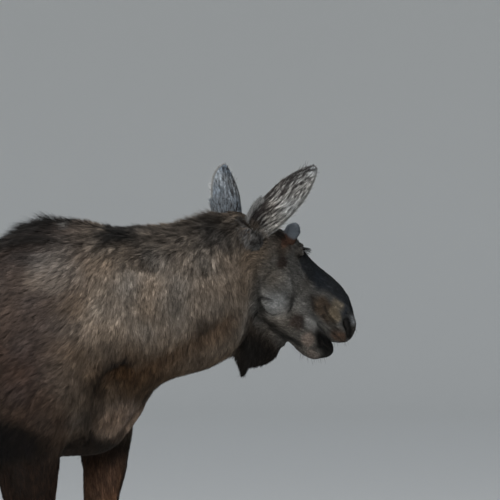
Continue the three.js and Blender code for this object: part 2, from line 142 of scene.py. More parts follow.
# ---------- frames ----------

HEADING = np.array([math.cos(HEAD_YAW), math.sin(HEAD_YAW), 0.0])  # level, the way it looks
LEFT_OF_HEAD = np.array([-math.sin(HEAD_YAW), math.cos(HEAD_YAW), 0.0])
DOWN = np.array([0.0, 0.0, -1.0])
FACE = HEADING * math.cos(HEAD_PITCH) + DOWN * math.sin(HEAD_PITCH)
BROW = HEADING * math.sin(HEAD_PITCH) - DOWN * math.cos(HEAD_PITCH)
HEAD_AXES = np.array([FACE, LEFT_OF_HEAD, BROW])


def middle_of(node):
    low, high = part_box(node)
    return np.array((low + high) / 2)


BETWEEN_EYES = (middle_of("eye_left") + middle_of("eye_right")) / 2
HEAD_ORIGIN = BETWEEN_EYES - np.array([EYE["along"], 0, EYE["up"]]) @ HEAD_AXES
BODY_ORIGIN = HEAD_ORIGIN - POLL  # the floor under the withers


def to_head(p):
    return (p - HEAD_ORIGIN) @ HEAD_AXES.T


def from_head(h):
    return np.asarray(h) @ HEAD_AXES + HEAD_ORIGIN


def to_body(p):
    return p - BODY_ORIGIN


def from_body(b):
    return np.asarray(b) + BODY_ORIGIN


def neck_at(distance):
    """Place and direction of the neck's middle line, at a distance along its bend."""
    rate = (NECK_YAW[1] - NECK_YAW[0]) / NECK_LENGTH
    yaw = NECK_YAW[0] + rate * distance
    x = NECK_START_X + (np.sin(yaw) - math.sin(NECK_YAW[0])) / rate
    y = (math.cos(NECK_YAW[0]) - np.cos(yaw)) / rate
    z = NECK_MIDDLE[0] + (NECK_MIDDLE[1] - NECK_MIDDLE[0]) * distance / NECK_LENGTH
    return np.stack([x, y, z], axis=-1)


def foreleg_line(x):
    """The middle line of a foreleg in the body frame, with its foot that far forward."""
    upper = [(0.03, LEG_SIDE, 1.15), (x, LEG_SIDE, 0.90), (x, LEG_SIDE, 0.5)]
    return upper + [(x, LEG_SIDE, 0.2), (x + 0.03, LEG_SIDE, 0.03)]


def hindleg_line(step):
    """The same for a hind leg."""
    return [
        (-1.05, LEG_SIDE, 1.20),
        (-1.10 + step * 0.3, LEG_SIDE, 1.0),
        (-1.20 + step * 0.6, LEG_SIDE, 0.80),
        (-1.225 + step * 0.8, LEG_SIDE, 0.68),
        (-1.19 + step * 0.9, LEG_SIDE, 0.45),
        (-1.17 + step, LEG_SIDE, 0.2),
        (-1.12 + step, LEG_SIDE, 0.03),
    ]


def on_side(line, sign):
    return from_body(np.array(line) * (1, sign, 1))


# The middle line of each region of the coat.
LINES = {
    "trunk": from_body([(-1.25, 0, 1.27), (-0.6, 0, 1.25), (0.0, 0, 1.36)]),
    "neck": from_body(neck_at(np.linspace(0, NECK_LENGTH, 9))),
    "head": from_head([(0.0, 0, -0.08), (0.62, 0, -0.06)]),
    "foreleg_right": on_side(foreleg_line(0.0), -1),
    "foreleg_left": on_side(foreleg_line(0.118), 1),
    "hindleg_right": on_side(hindleg_line(-0.02), -1),
    "hindleg_left": on_side(hindleg_line(0.095), 1),
}
LEGS = [name for name in LINES if "leg" in name]


def along(line, p):
    """For each point: distance to a line of points, how far along it, and the nearest place."""
    best = np.full(len(p), np.inf)
    run = np.zeros(len(p))
    place = np.zeros_like(p)
    before = 0.0
    for a, b in zip(line[:-1], line[1:]):
        length = np.linalg.norm(b - a)
        t = np.clip((p - a) @ (b - a) / length**2, 0, 1)
        q = a + t[:, None] * (b - a)
        d = np.linalg.norm(p - q, axis=1)
        near = d < best
        best = np.where(near, d, best)
        run = np.where(near, before + t * length, run)
        place[near] = q[near]
        before += length
    return best, run / before, place


def shares(p):
    """How much each point belongs to the head, the neck, the legs and the bell, 0 to 1."""
    b, h = to_body(p), to_head(p)
    level = (p - HEAD_ORIGIN) @ HEADING
    head = smooth(-0.05, 0.03, level)
    _, run, _ = along(LINES["neck"], p)
    neck = smooth(0.02, 0.30, run) * (1 - head)
    leg = np.zeros(len(p))
    for name in LEGS:
        d, _, _ = along(LINES[name], p)
        inside = 1 - smooth(0.16, 0.24, d)
        leg = np.maximum(leg, inside * (1 - smooth(0.92, 1.12, b[:, 2])))
    bell_front = smooth(-0.03, 0.02, level) * (1 - smooth(0.24, 0.30, level))
    bell = smooth(0.215, 0.25, -h[:, 2]) * bell_front
    return {"head": head, "neck": neck, "leg": leg, "bell": bell, "body": b, "face": h}


def neck_coordinates(p):
    """How far along the neck's bend each point is, how far to its side, and its height."""
    b = to_body(p)
    steps = np.linspace(0, NECK_LENGTH, 28)
    middle = neck_at(steps)
    gap = (b[:, None, :2] - middle[None, :, :2]) ** 2
    nearest = gap.sum(axis=2).argmin(axis=1)
    yaw = NECK_YAW[0] + (NECK_YAW[1] - NECK_YAW[0]) * steps[nearest] / NECK_LENGTH
    offset = b[:, :2] - middle[nearest, :2]
    ahead = offset[:, 0] * np.cos(yaw) + offset[:, 1] * np.sin(yaw)
    side = offset[:, 1] * np.cos(yaw) - offset[:, 0] * np.sin(yaw)
    way = np.stack([np.cos(yaw), np.sin(yaw), np.full(len(p), 0.33)], axis=1)
    return np.stack([steps[nearest] + ahead, side, b[:, 2]], axis=1), unit(way)


def side_of(q):
    """The same coordinates with the animal's left and right folded together."""
    out = q.copy()
    out[:, 1] = np.abs(out[:, 1])
    return out


def path_gap(line, p, n):
    """Distance from each point to a line drawn on the skin, measured along the skin."""
    _, _, place = along(np.asarray(line, float), p)
    away = p - place
    sunk = (away * n).sum(axis=1)
    gap = np.linalg.norm(away - n * sunk[:, None], axis=1)
    return np.where(np.abs(sunk) < 0.10, gap, 9.0)


# ---------- meshes ----------


def new_object(name, mesh):
    ob = bpy.data.objects.new(name, mesh)
    bpy.context.scene.collection.objects.link(ob)
    return ob


def make_mesh(name, points, faces):
    """A mesh from points and a list of arrays of faces, each with its own number of sides."""
    mesh = bpy.data.meshes.new(name)
    loops = np.concatenate([f.reshape(-1) for f in faces])
    sizes = np.concatenate([np.full(len(f), f.shape[1]) for f in faces])
    starts = np.concatenate([[0], np.cumsum(sizes)[:-1]])
    mesh.vertices.add(len(points))
    mesh.vertices.foreach_set("co", np.asarray(points, np.float32).reshape(-1))
    mesh.loops.add(len(loops))
    mesh.loops.foreach_set("vertex_index", loops.astype(np.int32))
    mesh.polygons.add(len(sizes))
    mesh.polygons.foreach_set("loop_start", starts.astype(np.int32))
    mesh.update(calc_edges=True)
    mesh.shade_smooth()
    return mesh


def points_of(mesh):
    co = np.empty(len(mesh.vertices) * 3, np.float32)
    mesh.vertices.foreach_get("co", co)
    return co.reshape(-1, 3).astype(float)


def normals_of(mesh):
    no = np.empty(len(mesh.vertices) * 3, np.float32)
    mesh.vertex_normals.foreach_get("vector", no)
    return no.reshape(-1, 3).astype(float)


def put_points(mesh, points):
    mesh.vertices.foreach_set("co", points.astype(np.float32).reshape(-1))
    mesh.update()


def edges_of(mesh):
    edges = np.empty(len(mesh.edges) * 2, np.int32)
    mesh.edges.foreach_get("vertices", edges)
    return edges.reshape(-1, 2)


def triangles_of(mesh):
    mesh.calc_loop_triangles()
    tris = np.empty(len(mesh.loop_triangles) * 3, np.int32)
    mesh.loop_triangles.foreach_get("vertices", tris)
    return tris.reshape(-1, 3)


def relax(points, edges, rounds, amount):
    """Moves each point towards its neighbours' middle and part of the way back out again."""
    count = len(points)
    a, b = edges.T
    degree = np.maximum(np.bincount(a, minlength=count) + np.bincount(b, minlength=count), 1)
    for step in range(2 * rounds):
        pull = amount * (0.5 if step % 2 == 0 else -0.49)
        total = np.empty_like(points)
        for k in range(3):
            total[:, k] = np.bincount(a, points[b, k], count) + np.bincount(b, points[a, k], count)
        points = points + (total / degree[:, None] - points) * pull[:, None]
    return points


def paint(mesh, name, colours):
    layer = mesh.color_attributes.new(name=name, type="FLOAT_COLOR", domain="POINT")
    rgba = np.ones((len(colours), 4), np.float32)
    rgba[:, :3] = colours
    layer.data.foreach_set("color", rgba.reshape(-1))


def lay_out(mesh, uv):
    """Gives the mesh a UV map named OFBake, from a place for each corner."""
    layer = mesh.uv_layers.new(name="OFBake")
    layer.data.foreach_set("uv", np.asarray(uv, np.float32).reshape(-1))


# ---------- ears ----------

# Outline of an ear: share of its length, half width and depth of the cup as shares of its width.
EAR_RUN = (-0.24, -0.10, 0.06, 0.20, 0.36, 0.52, 0.68, 0.82, 0.92, 1.00)
EAR_HALF = (0.14, 0.44, 0.74, 0.96, 1.04, 1.04, 0.94, 0.70, 0.44, 0.14)
EAR_DEPTH = (0.10, 0.28, 0.50, 0.66, 0.60, 0.50, 0.40, 0.28, 0.18, 0.07)
EAR_COAT, EAR_WALL = 0.004, 0.0042


class Ear:
    """One ear's frame. Its coordinates are along the ear, across it, and out of its opening."""

    def __init__(self, side):
        sign, axis, opening = EAR_SET[side]
        axis = unit(np.array(axis))
        opening = unit(np.array(opening) - axis * (np.array(opening) @ axis))
        self.side, self.sign = side, sign
        self.base = from_head((EAR["along"], sign * EAR["side"], EAR["up"]))
        self.axes = np.array([axis, np.cross(opening, axis), opening]) @ HEAD_AXES

    def local(self, p):
        return (p - self.base) @ self.axes.T

    def world(self, q):
        return np.asarray(q) @ self.axes + self.base

    def outline(self, run):
        half = spline(EAR_RUN, EAR_HALF, run) * EAR["width"]
        return half, spline(EAR_RUN, EAR_DEPTH, run) * EAR["width"]

    def share(self, p):
        """1 on the ear, falling to 0 at its root on the skull."""
        q = self.local(p)
        run = q[:, 0] / EAR["length"]
        half, depth = self.outline(run)
        reach = np.hypot(q[:, 1] / (half + 0.010), np.minimum(q[:, 2], 0) / (depth + 0.012))
        inside = 1 - smooth(1.0, 1.25, reach)
        return inside * smooth(0.03, 0.12, run) * (1 - smooth(0.020, 0.035, q[:, 2]))

    def shell(self):
        """The ear's skin: a cupped leaf, closed at both ends."""
        steps = 22
        angle = np.linspace(0, math.pi, steps)
        runs = np.concatenate([np.linspace(-0.24, 0.90, 44), np.linspace(0.915, 0.985, 7)])
        rings = []
        for run in runs:
            half, depth = self.outline(run)
            half, depth = half - EAR_COAT, depth - EAR_COAT
            wave = 1 + 0.03 * np.sin(run * 19 + angle)
            outer = np.stack([half * np.cos(angle), -depth * np.sin(angle) * wave], axis=1)
            half, depth = max(half - EAR_WALL * 0.8, 0.0012), max(depth - EAR_WALL, 0.0)
            inner = np.stack([half * np.cos(angle), 0.0012 - depth * np.sin(angle) * wave], axis=1)
            ring = np.concatenate([outer, inner[::-1]])
            rings.append(np.column_stack([np.full(len(ring), run * EAR["length"]), ring]))
        count, turns = 2 * steps, len(runs)
        quads = []
        for r in range(turns - 1):
            for k in range(count):
                n = (k + 1) % count
                quads.append((r * count + k, r * count + n, (r + 1) * count + n, (r + 1) * count + k))
        for r in (0, turns - 1):
            for k in range(steps - 1):
                a, b = r * count + k, r * count + count - 1 - k
                quads.append((a, a + 1, b - 1, b))
        mesh = make_mesh("ear", self.world(np.concatenate(rings)), [np.array(quads)])
        tidy = bmesh.new()
        tidy.from_mesh(mesh)
        bmesh.ops.recalc_face_normals(tidy, faces=tidy.faces)
        tidy.to_mesh(mesh)
        tidy.free()
        return mesh


EARS = [Ear(side) for side in EAR_SET]


def ear_share(p):
    return np.maximum(*[ear.share(p) for ear in EARS])


def trim_stump(p, ear):
    """Flattens the coarse root of an ear, where the fine one goes."""
    q = ear.local(p)
    reach = np.hypot(q[:, 1] / 0.050, (q[:, 2] + 0.018) / 0.048)
    pull = (1 - smooth(1.0, 1.35, reach)) * (q[:, 0] > 0.006) * (q[:, 0] < 0.14)
    q[:, 0] -= (q[:, 0] - 0.006) * 0.94 * pull
    return ear.world(q)


def union(mesh, others):
    """One closed skin out of a mesh and the meshes that grow out of it."""
    ob = new_object("whole", mesh)
    helpers = []
    for other in others:
        helper = new_object("part", other)
        mod = ob.modifiers.new("join", "BOOLEAN")
        mod.operation, mod.solver, mod.object = "UNION", "MANIFOLD", helper
        helpers.append(helper)
    graph = bpy.context.evaluated_depsgraph_get()
    out = bpy.data.meshes.new_from_object(ob.evaluated_get(graph))
    for extra in [ob, *helpers]:
        bpy.data.objects.remove(extra)
    return out


# ---------- skin ----------

APART = ("eye", "antler", "hoof", "dewclaw")  # these nodes keep their own pieces
FLESH = [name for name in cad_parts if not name.startswith(APART)]


def flesh_soup():
    """All flesh nodes in one mesh, each swollen a little so that the cuts between them close."""
    soup = bmesh.new()
    for name in FLESH:
        if name.startswith("ear"):
            continue
        piece = bmesh.new()
        piece.from_mesh(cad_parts[name].data)
        bmesh.ops.remove_doubles(piece, verts=piece.verts, dist=1e-5)
        piece.normal_update()
        for v in piece.verts:
            v.co += v.normal * SKIN_SWELL
        mesh = bpy.data.meshes.new("piece")
        piece.to_mesh(mesh)
        piece.free()
        soup.from_mesh(mesh)
        bpy.data.meshes.remove(mesh)
    for side, sign in (("left", 1), ("right", -1)):
        bud = from_head((BUD["along"] - 0.006, sign * (BUD["side"] - 0.010), BUD["up"] - 0.014))
        for centre, radius in ((middle_of("eye_" + side), EYE["radius"]), (bud, 0.022)):
            place = Matrix.Translation(Vector(centre))
            bmesh.ops.create_icosphere(soup, subdivisions=3, radius=radius + 0.001, matrix=place)
    for along_lip in (0.415, 0.435, 0.455, 0.475, 0.492):
        for beside in (-0.030, 0.0, 0.030):
            place = Matrix.Translation(Vector(from_head((along_lip, beside, -0.100))))
            bmesh.ops.create_icosphere(soup, subdivisions=3, radius=0.0175, matrix=place)
    mesh = bpy.data.meshes.new("soup")
    soup.to_mesh(mesh)
    soup.free()
    return mesh


def remeshed(mesh, voxel):
    ob = new_object("remesh", mesh)
    mod = ob.modifiers.new("remesh", "REMESH")
    mod.mode, mod.voxel_size = "VOXEL", voxel
    graph = bpy.context.evaluated_depsgraph_get()
    out = bpy.data.meshes.new_from_object(ob.evaluated_get(graph))
    bpy.data.objects.remove(ob)
    return out


def crest_share(p, normals):
    """1 along the ruffled crest, from the hump to the poll."""
    b = to_body(p)
    up = smooth(0.25, 0.80, normals[:, 2])
    place = smooth(-0.50, -0.20, b[:, 0]) * smooth(1.56, 1.64, b[:, 2])
    level = (p - HEAD_ORIGIN) @ HEADING
    return up * place * (1 - smooth(-0.08, 0.02, level))


def hump_share(b):
    """1 at the hump's crest of long dark hair, and 0 by the neck."""
    return smooth(-0.60, -0.30, b[:, 0]) * (1 - smooth(0.04, 0.13, b[:, 0]))


def coat_depth(p, normals):
    """How far the skin lies inside the outline, which is at the tips of the coat."""
    s = shares(p)
    depth = 0.013 + 0.002 * s["neck"]
    crest = crest_share(p, normals)
    depth += crest * (0.006 + 0.012 * hump_share(s["body"]))
    depth += (0.0045 - depth) * s["leg"]
    depth += (0.0032 - depth) * s["head"] * (1 - s["bell"])
    depth += (0.010 - depth) * s["bell"]
    return depth


def finer(mesh, chosen):
    """Divides the chosen faces in four, keeping the skin whole."""
    bm = bmesh.new()
    bm.from_mesh(mesh)
    bm.faces.ensure_lookup_table()
    faces = [bm.faces[i] for i in np.flatnonzero(chosen)]
    edges = list({e for f in faces for e in f.edges})
    bmesh.ops.subdivide_edges(bm, edges=edges, cuts=1, use_grid_fill=True)
    bmesh.ops.triangulate(bm, faces=[f for f in bm.faces if len(f.verts) > 4])
    bm.to_mesh(mesh)
    bm.free()
    return mesh


def face_middles(mesh):
    middles = np.empty(len(mesh.polygons) * 3, np.float32)
    mesh.polygons.foreach_get("center", middles)
    return middles.reshape(-1, 3).astype(float)


def mirrored(q, centre, radii, push):
    """Moves the points near a centre by a push that fades over the radii, left and right."""
    for sign in (1, -1):
        flip = np.array([1, sign, 1])
        r = (((q - np.array(centre) * flip) / radii) ** 2).sum(axis=1)
        q = q + (np.clip(1 - r, 0, 1) ** 2)[:, None] * (np.array(push) * flip)
    return q


# Hollows and swellings of the body: place, reach and push, on each side.
BODY_STROKES = [
    ((0.12, 0.23, 1.19), (0.11, 0.09, 0.09), (0.010, 0.012, 0.0)),  # point of the shoulder
    ((-0.20, 0.24, 1.10), (0.07, 0.09, 0.13), (0.0, -0.016, 0.0)),  # behind the elbow
    ((-0.02, 0.20, 1.50), (0.11, 0.10, 0.18), (0.0, 0.009, 0.0)),  # shoulder blade
    ((-0.17, 0.22, 1.44), (0.06, 0.10, 0.18), (0.0, -0.009, 0.0)),
    ((0.02, 0.24, 1.08), (0.09, 0.09, 0.08), (0.0, 0.010, 0.0)),  # upper arm
    ((-0.80, 0.24, 1.28), (0.11, 0.09, 0.15), (0.0, -0.024, 0.0)),  # flank
    ((-0.90, 0.20, 1.47), (0.07, 0.08, 0.05), (0.0, 0.014, 0.010)),  # hip
    ((-1.21, 0.14, 1.38), (0.05, 0.07, 0.06), (-0.012, 0.008, 0.0)),  # seat bone
    ((-1.22, 0.0, 1.20), (0.10, 0.035, 0.30), (0.030, 0.0, 0.0)),  # between the thighs
    ((-1.12, 0.20, 0.98), (0.05, 0.06, 0.12), (0.012, -0.010, 0.0)),  # hamstring
    ((-0.98, 0.24, 1.10), (0.10, 0.07, 0.14), (0.0, 0.010, 0.0)),  # thigh
    ((0.0, 0.20, 0.93), (0.04, 0.05, 0.10), (0.0, 0.006, 0.0)),  # forearm muscle
    ((0.27, 0.06, 1.12), (0.08, 0.07, 0.08), (0.012, 0.004, 0.0)),  # breast
    ((0.28, 0.0, 1.10), (0.08, 0.022, 0.14), (-0.012, 0.0, 0.0)),  # between the breast muscles
]

# The deep crease between the shoulder and the breast, also painted black in the coat as shade.
CREASE = [
    (0.325, 0.115, 1.278),
    (0.279, 0.150, 1.252),
    (0.250, 0.160, 1.212),
    (0.224, 0.139, 1.134),
    (0.190, 0.077, 1.040),
]

# Furrows of the body on each side: the line each follows, half its width, and its depth.
BODY_FURROWS = [
    (CREASE, 0.020, 0.026),
    ([(0.27, 0.168, 1.30), (0.262, 0.166, 1.40), (0.215, 0.13, 1.55), (0.18, 0.06, 1.68)], 0.045, 0.008),
    ([(-0.20, 0.20, 1.58), (-0.22, 0.24, 1.40), (-0.17, 0.25, 1.20)], 0.050, 0.006),
    ([(0.17, 0.20, 1.10), (0.10, 0.21, 1.02), (0.02, 0.22, 0.98)], 0.020, 0.007),
    ([(0.20, 0.17, 1.17), (0.12, 0.215, 1.12), (0.06, 0.235, 1.10)], 0.022, 0.005),
]
# Low on the neck: distance along it, to the side, and height.
LOW_NECK = [(0.214, 0.130, 1.256), (0.318, 0.122, 1.326), (0.398, 0.121, 1.378)]
# Furrows of the neck, in the same coordinates.
NECK_FURROWS = [
    ([(0.179, 0.165, 1.270), *LOW_NECK, (0.470, 0.111, 1.424)], 0.022, 0.007),
    ([(0.16, 0.14, 1.60), (0.28, 0.13, 1.56), (0.42, 0.115, 1.57), (0.50, 0.11, 1.60)], 0.030, 0.005),
]


def furrow(p, normals, line, width, depth):
    """Presses a furrow into the skin along a line; a depth under 0 raises a ridge."""
    weight = np.exp(-((path_gap(line, p, normals) / width) ** 2))
    return p - normals * (weight * depth)[:, None]


def sculpt_body(p, normals):
    q = to_body(p)
    for centre, radii, push in BODY_STROKES:
        q = mirrored(q, centre, radii, push)
    p = from_body(q)
    for sign in (1, -1):
        for line, width, depth in BODY_FURROWS:
            placed = from_body(np.array(line) * (1, sign, 1))
            p = furrow(p, normals, placed, width, depth)
        for line, width, depth in NECK_FURROWS:
            p = furrow(p, normals, neck_line(line, sign), width, depth)
    soft = 1 - np.maximum(shares(p)["leg"], shares(p)["head"])
    lumps = 0.0032 * noise(p, 0.11, 3) + 0.0018 * noise(p, 0.045, 4)
    return p + normals * (lumps * soft)[:, None]


def neck_line(line, sign):
    """A line given in the neck's own coordinates, on one side of it."""
    run, side, height = np.array(line).T
    yaw = NECK_YAW[0] + (NECK_YAW[1] - NECK_YAW[0]) * run / NECK_LENGTH
    middle = neck_at(run)
    out = sign * side[:, None] * np.stack([-np.sin(yaw), np.cos(yaw), 0 * yaw], axis=1)
    placed = middle + out
    placed[:, 2] = height
    return from_body(placed)


# The slit of a nostril, from its upper corner to its front one.
NOSTRIL = [(0.534, 0.065, -0.033), (0.550, 0.062, -0.043), (0.567, 0.057, -0.049), (0.588, 0.047, -0.054)]

# Lines on one side of the head, in its own frame.
JAW_EDGE = [
    (0.196, 0.066, -0.186),
    (0.240, 0.045, -0.200),
    (0.280, 0.018, -0.204),
    (0.319, 0.027, -0.202),
    (0.388, 0.018, -0.197),
    (0.443, 0.020, -0.189),
]
CURL = [(0.192, 0.066, -0.179), (0.205, 0.070, -0.175), (0.220, 0.077, -0.167)]  # on the jaw's angle
FOLDS = [  # of the upper lip
    [(0.428, 0.058, -0.046), (0.460, 0.060, -0.058), (0.500, 0.060, -0.062)],
    [(0.446, 0.056, -0.070), (0.480, 0.060, -0.076), (0.520, 0.056, -0.078)],
    [(0.366, 0.060, -0.048), (0.385, 0.058, -0.058), (0.406, 0.056, -0.074)],
]
HEAD_STROKES = [
    ((0.270, 0.075, 0.010), (0.050, 0.035, 0.030), (0.0, -0.007, 0.0)),  # before the eye
    ((0.325, 0.066, -0.040), (0.085, 0.030, 0.016), (0.0, 0.005, 0.0)),  # cheek bone
    ((0.168, 0.095, -0.015), (0.036, 0.040, 0.032), (0.0, -0.007, 0.0)),  # temple
    ((0.240, 0.080, -0.150), (0.080, 0.050, 0.060), (0.0, 0.006, 0.0)),  # cheek muscle
    ((0.345, 0.060, -0.120), (0.040, 0.030, 0.070), (0.0, -0.004, 0.0)),  # before the cheek
    ((0.418, 0.055, -0.102), (0.034, 0.040, 0.022), (0.0, 0.008, 0.0)),  # behind the mouth
    ((0.190, 0.076, 0.038), (0.034, 0.034, 0.022), (0.0, 0.004, 0.007)),  # brow under the bud
    ((0.430, 0.066, -0.055), (0.070, 0.030, 0.036), (0.0, 0.006, 0.0)),  # upper lip
    ((0.500, 0.062, -0.002), (0.045, 0.030, 0.024), (0.0, 0.006, 0.004)),  # over the nostril
    ((0.440, 0.062, 0.012), (0.045, 0.030, 0.028), (0.0, -0.005, 0.0)),
    ((0.530, 0.064, -0.016), (0.046, 0.026, 0.009), (0.002, 0.006, 0.003)),  # nostril's rim
    ((0.530, 0.060, -0.060), (0.046, 0.026, 0.012), (0.002, 0.006, -0.001)),
    ((0.600, 0.0, -0.055), (0.022, 0.009, 0.050), (-0.006, 0.0, 0.0)),  # cleft of the lip
    ((0.545, 0.0, -0.128), (0.040, 0.060, 0.036), (0.010, 0.0, 0.0)),  # chin
    ((0.100, 0.0, 0.045), (0.060, 0.060, 0.030), (0.0, 0.0, 0.008)),  # forelock's cushion
    ((0.235, 0.0, 0.060), (0.050, 0.045, 0.030), (0.0, 0.0, -0.006)),  # between the brows
]
HEAD_FURROWS = [
    (NOSTRIL, 0.0125, 0.020),
    ([(0.520, 0.066, -0.004), (0.500, 0.066, -0.022), (0.512, 0.066, -0.030)], 0.006, 0.004),
    (FOLDS[0], 0.005, 0.005),
    (FOLDS[1], 0.005, 0.005),
    (FOLDS[2], 0.006, 0.004),
    ([(0.250, 0.084, 0.012), (0.285, 0.076, -0.010), (0.320, 0.070, -0.020)], 0.006, 0.003),
    (CURL, 0.0045, 0.004),
    ([(0.150, 0.090, -0.060), (0.175, 0.090, -0.090), (0.180, 0.090, -0.130)], 0.012, 0.004),
    ([(0.395, 0.058, -0.010), (0.400, 0.060, -0.050), (0.420, 0.058, -0.085)], 0.010, 0.003),
    (JAW_EDGE, 0.011, 0.006),
]
MOUTH = {"corner": 0.452, "level": -0.0955, "reach": 0.0050, "depth": 0.010}


def sculpt_head(p, normals):
    h = to_head(p)
    for centre, radii, push in HEAD_STROKES:
        h = mirrored(h, centre, radii, push)
    turned = normals @ HEAD_AXES.T
    for sign in (1, -1):
        for line, width, depth in HEAD_FURROWS:
            h = furrow(h, turned, np.array(line) * (1, sign, 1), width, depth)
    h = carve_mouth(h, turned)
    for sign in (1, -1):
        h = seat_eye(h, sign)
    return from_head(h)


def carve_mouth(h, normals):
    """A groove between the lips, from the corner of the mouth round the front."""
    line = MOUTH["level"] + 0.12 * np.clip(0.468 - h[:, 0], 0, 1)
    gap = np.exp(-(((h[:, 2] - line) / MOUTH["reach"]) ** 2))
    share = smooth(MOUTH["corner"] - 0.012, MOUTH["corner"] + 0.02, h[:, 0])
    inward = normals * (1, 1, 0)
    return h - inward * (gap * share * MOUTH["depth"])[:, None]


EYE_OUT = unit(np.array([0.60, 0.74, 0.30]))  # the way the left eye looks, in the head frame
EYE_ALONG = np.array([1.0, -0.60, -0.22])  # from its rear corner to its front one
LID = {"middle": 0.0012, "half": 0.0160, "up": 0.0108, "down": 0.0086}


def eye_frame(sign):
    """Centre and axes of one eye in the head frame: out, forward and up."""
    flip = np.array([1, sign, 1])
    out = EYE_OUT * flip
    forward = EYE_ALONG * flip
    forward = unit(forward - out * (forward @ out))
    up = np.cross(out, forward)
    up = up * np.sign(up[2])
    return np.array([EYE["along"], sign * EYE["side"], EYE["up"]]), np.array([out, forward, up])


def lid_reach(x, y):
    """Under 1 inside the opening between the lids, over 1 outside."""
    height = np.where(y > 0, LID["up"], LID["down"])
    run = (x - LID["middle"]) / LID["half"]
    arch = np.maximum(1 - run**2, 0) ** 0.8 * height
    inside = np.abs(y) / np.maximum(arch, 1e-4)
    return np.where(np.abs(run) < 1, inside, 9.0)


def seat_eye(h, sign):
    """Lifts the skin clear of the eyeball, and sinks it inside the opening of the lids."""
    centre, axes = eye_frame(sign)
    local = (h - centre) @ axes.T
    radius = np.linalg.norm(local, axis=1)
    near = (radius < 0.045) & (local[:, 0] > -0.012)
    brow = smooth(-0.004, 0.012, local[:, 2]) * 0.0015 + smooth(0.0, 0.015, -local[:, 1]) * 0.0015
    lidded = EYE["radius"] + 0.0026 + brow
    blend = 1 - smooth(0.022, 0.040, radius)
    grown = np.maximum(radius, lidded) * blend + radius * (1 - blend)
    folds = np.hypot(local[:, 1] / 1.2, local[:, 2])
    crease = np.exp(-(((folds - 0.0175) / 0.0022) ** 2)) * (local[:, 2] > 0)
    crease = crease + 0.7 * np.exp(-(((folds - 0.0155) / 0.0018) ** 2)) * (local[:, 2] <= 0)
    grown = grown - 0.0012 * crease * (local[:, 0] > 0.004)
    moved = local * (grown / np.maximum(radius, 1e-6))[:, None]
    opened = (lid_reach(local[:, 1], local[:, 2]) < 1.10) & (local[:, 0] > 0)
    sunk = local * ((EYE["radius"] - 0.007) / np.maximum(radius, 1e-6))[:, None]
    moved = np.where(opened[:, None], sunk, moved)
    return np.where(near[:, None], moved, local) @ axes + centre


def eye_gap(p):
    """Distance from each point to the nearer eye's middle."""
    h = to_head(p)
    return np.minimum(*[np.linalg.norm(h - eye_frame(sign)[0], axis=1) for sign in (1, -1)])


def build_skin():
    mesh = remeshed(flesh_soup(), VOXEL)
    p, edges = points_of(mesh), edges_of(mesh)
    s = shares(p)
    firm = np.clip(1 - 0.72 * s["leg"] - 0.75 * s["head"], 0.12, 1)
    rear = (1 - smooth(-1.02, -0.80, to_body(p)[:, 0])) * smooth(0.95, 1.10, to_body(p)[:, 2])
    p = relax(relax(p, edges, 24, firm), edges, 30, rear)
    put_points(mesh, p)
    normals = normals_of(mesh)
    p = p - normals * coat_depth(p, normals)[:, None]
    for ear in EARS:
        p = trim_stump(p, ear)
    p = relax(p, edges, 3, np.full(len(p), 0.6))
    put_points(mesh, p)
    p = sculpt_body(p, normals_of(mesh))
    put_points(mesh, relax(p, edges, 1, np.full(len(p), 0.5)))

    middles = face_middles(mesh)
    mesh = finer(mesh, shares(middles)["head"] > 0.5)
    p, edges = points_of(mesh), edges_of(mesh)
    p = relax(p, edges, 4, 0.9 * shares(p)["head"])
    h = to_head(p)
    angle = smooth(0.13, 0.18, -h[:, 2]) * smooth(0.05, 0.10, h[:, 0]) * (1 - smooth(0.34, 0.40, h[:, 0]))
    corner = 1 - smooth(0.5, 1.0, np.hypot((h[:, 0] - 0.420) / 0.050, (h[:, 2] + 0.105) / 0.036))
    cheek = 1 - smooth(0.5, 1.0, np.hypot((h[:, 0] - 0.300) / 0.085, (h[:, 2] + 0.125) / 0.085))
    put_points(mesh, relax(p, edges, 26, 0.9 * np.maximum(np.maximum(angle, corner), cheek)))

    mesh = union(mesh, [ear.shell() for ear in EARS])
    p, edges = points_of(mesh), edges_of(mesh)
    root = np.zeros(len(p))
    for ear in EARS:
        q = ear.local(p)
        rim = np.exp(-(((q[:, 0] - 0.004) / 0.028) ** 2))
        root = np.maximum(root, rim * (np.hypot(q[:, 1], q[:, 2] + 0.015) < 0.09))
    put_points(mesh, relax(p, edges, 14, 0.9 * root))

    middles = face_middles(mesh)
    h, s = to_head(middles), shares(middles)
    muzzle = (h[:, 0] > 0.43) & (s["head"] > 0.5)
    mesh = finer(mesh, muzzle | (eye_gap(middles) < 0.055))
    mesh = finer(mesh, eye_gap(face_middles(mesh)) < 0.036)
    p, edges = points_of(mesh), edges_of(mesh)
    p = relax(p, edges, 2, 0.9 * shares(p)["head"] * (1 - ear_share(p)))
    gap = eye_gap(p)
    p = relax(p, edges, 40, 0.9 * smooth(0.018, 0.022, gap) * (1 - smooth(0.045, 0.060, gap)))
    put_points(mesh, p)
    put_points(mesh, sculpt_head(p, normals_of(mesh)))
    return mesh


# ---------- colours ----------

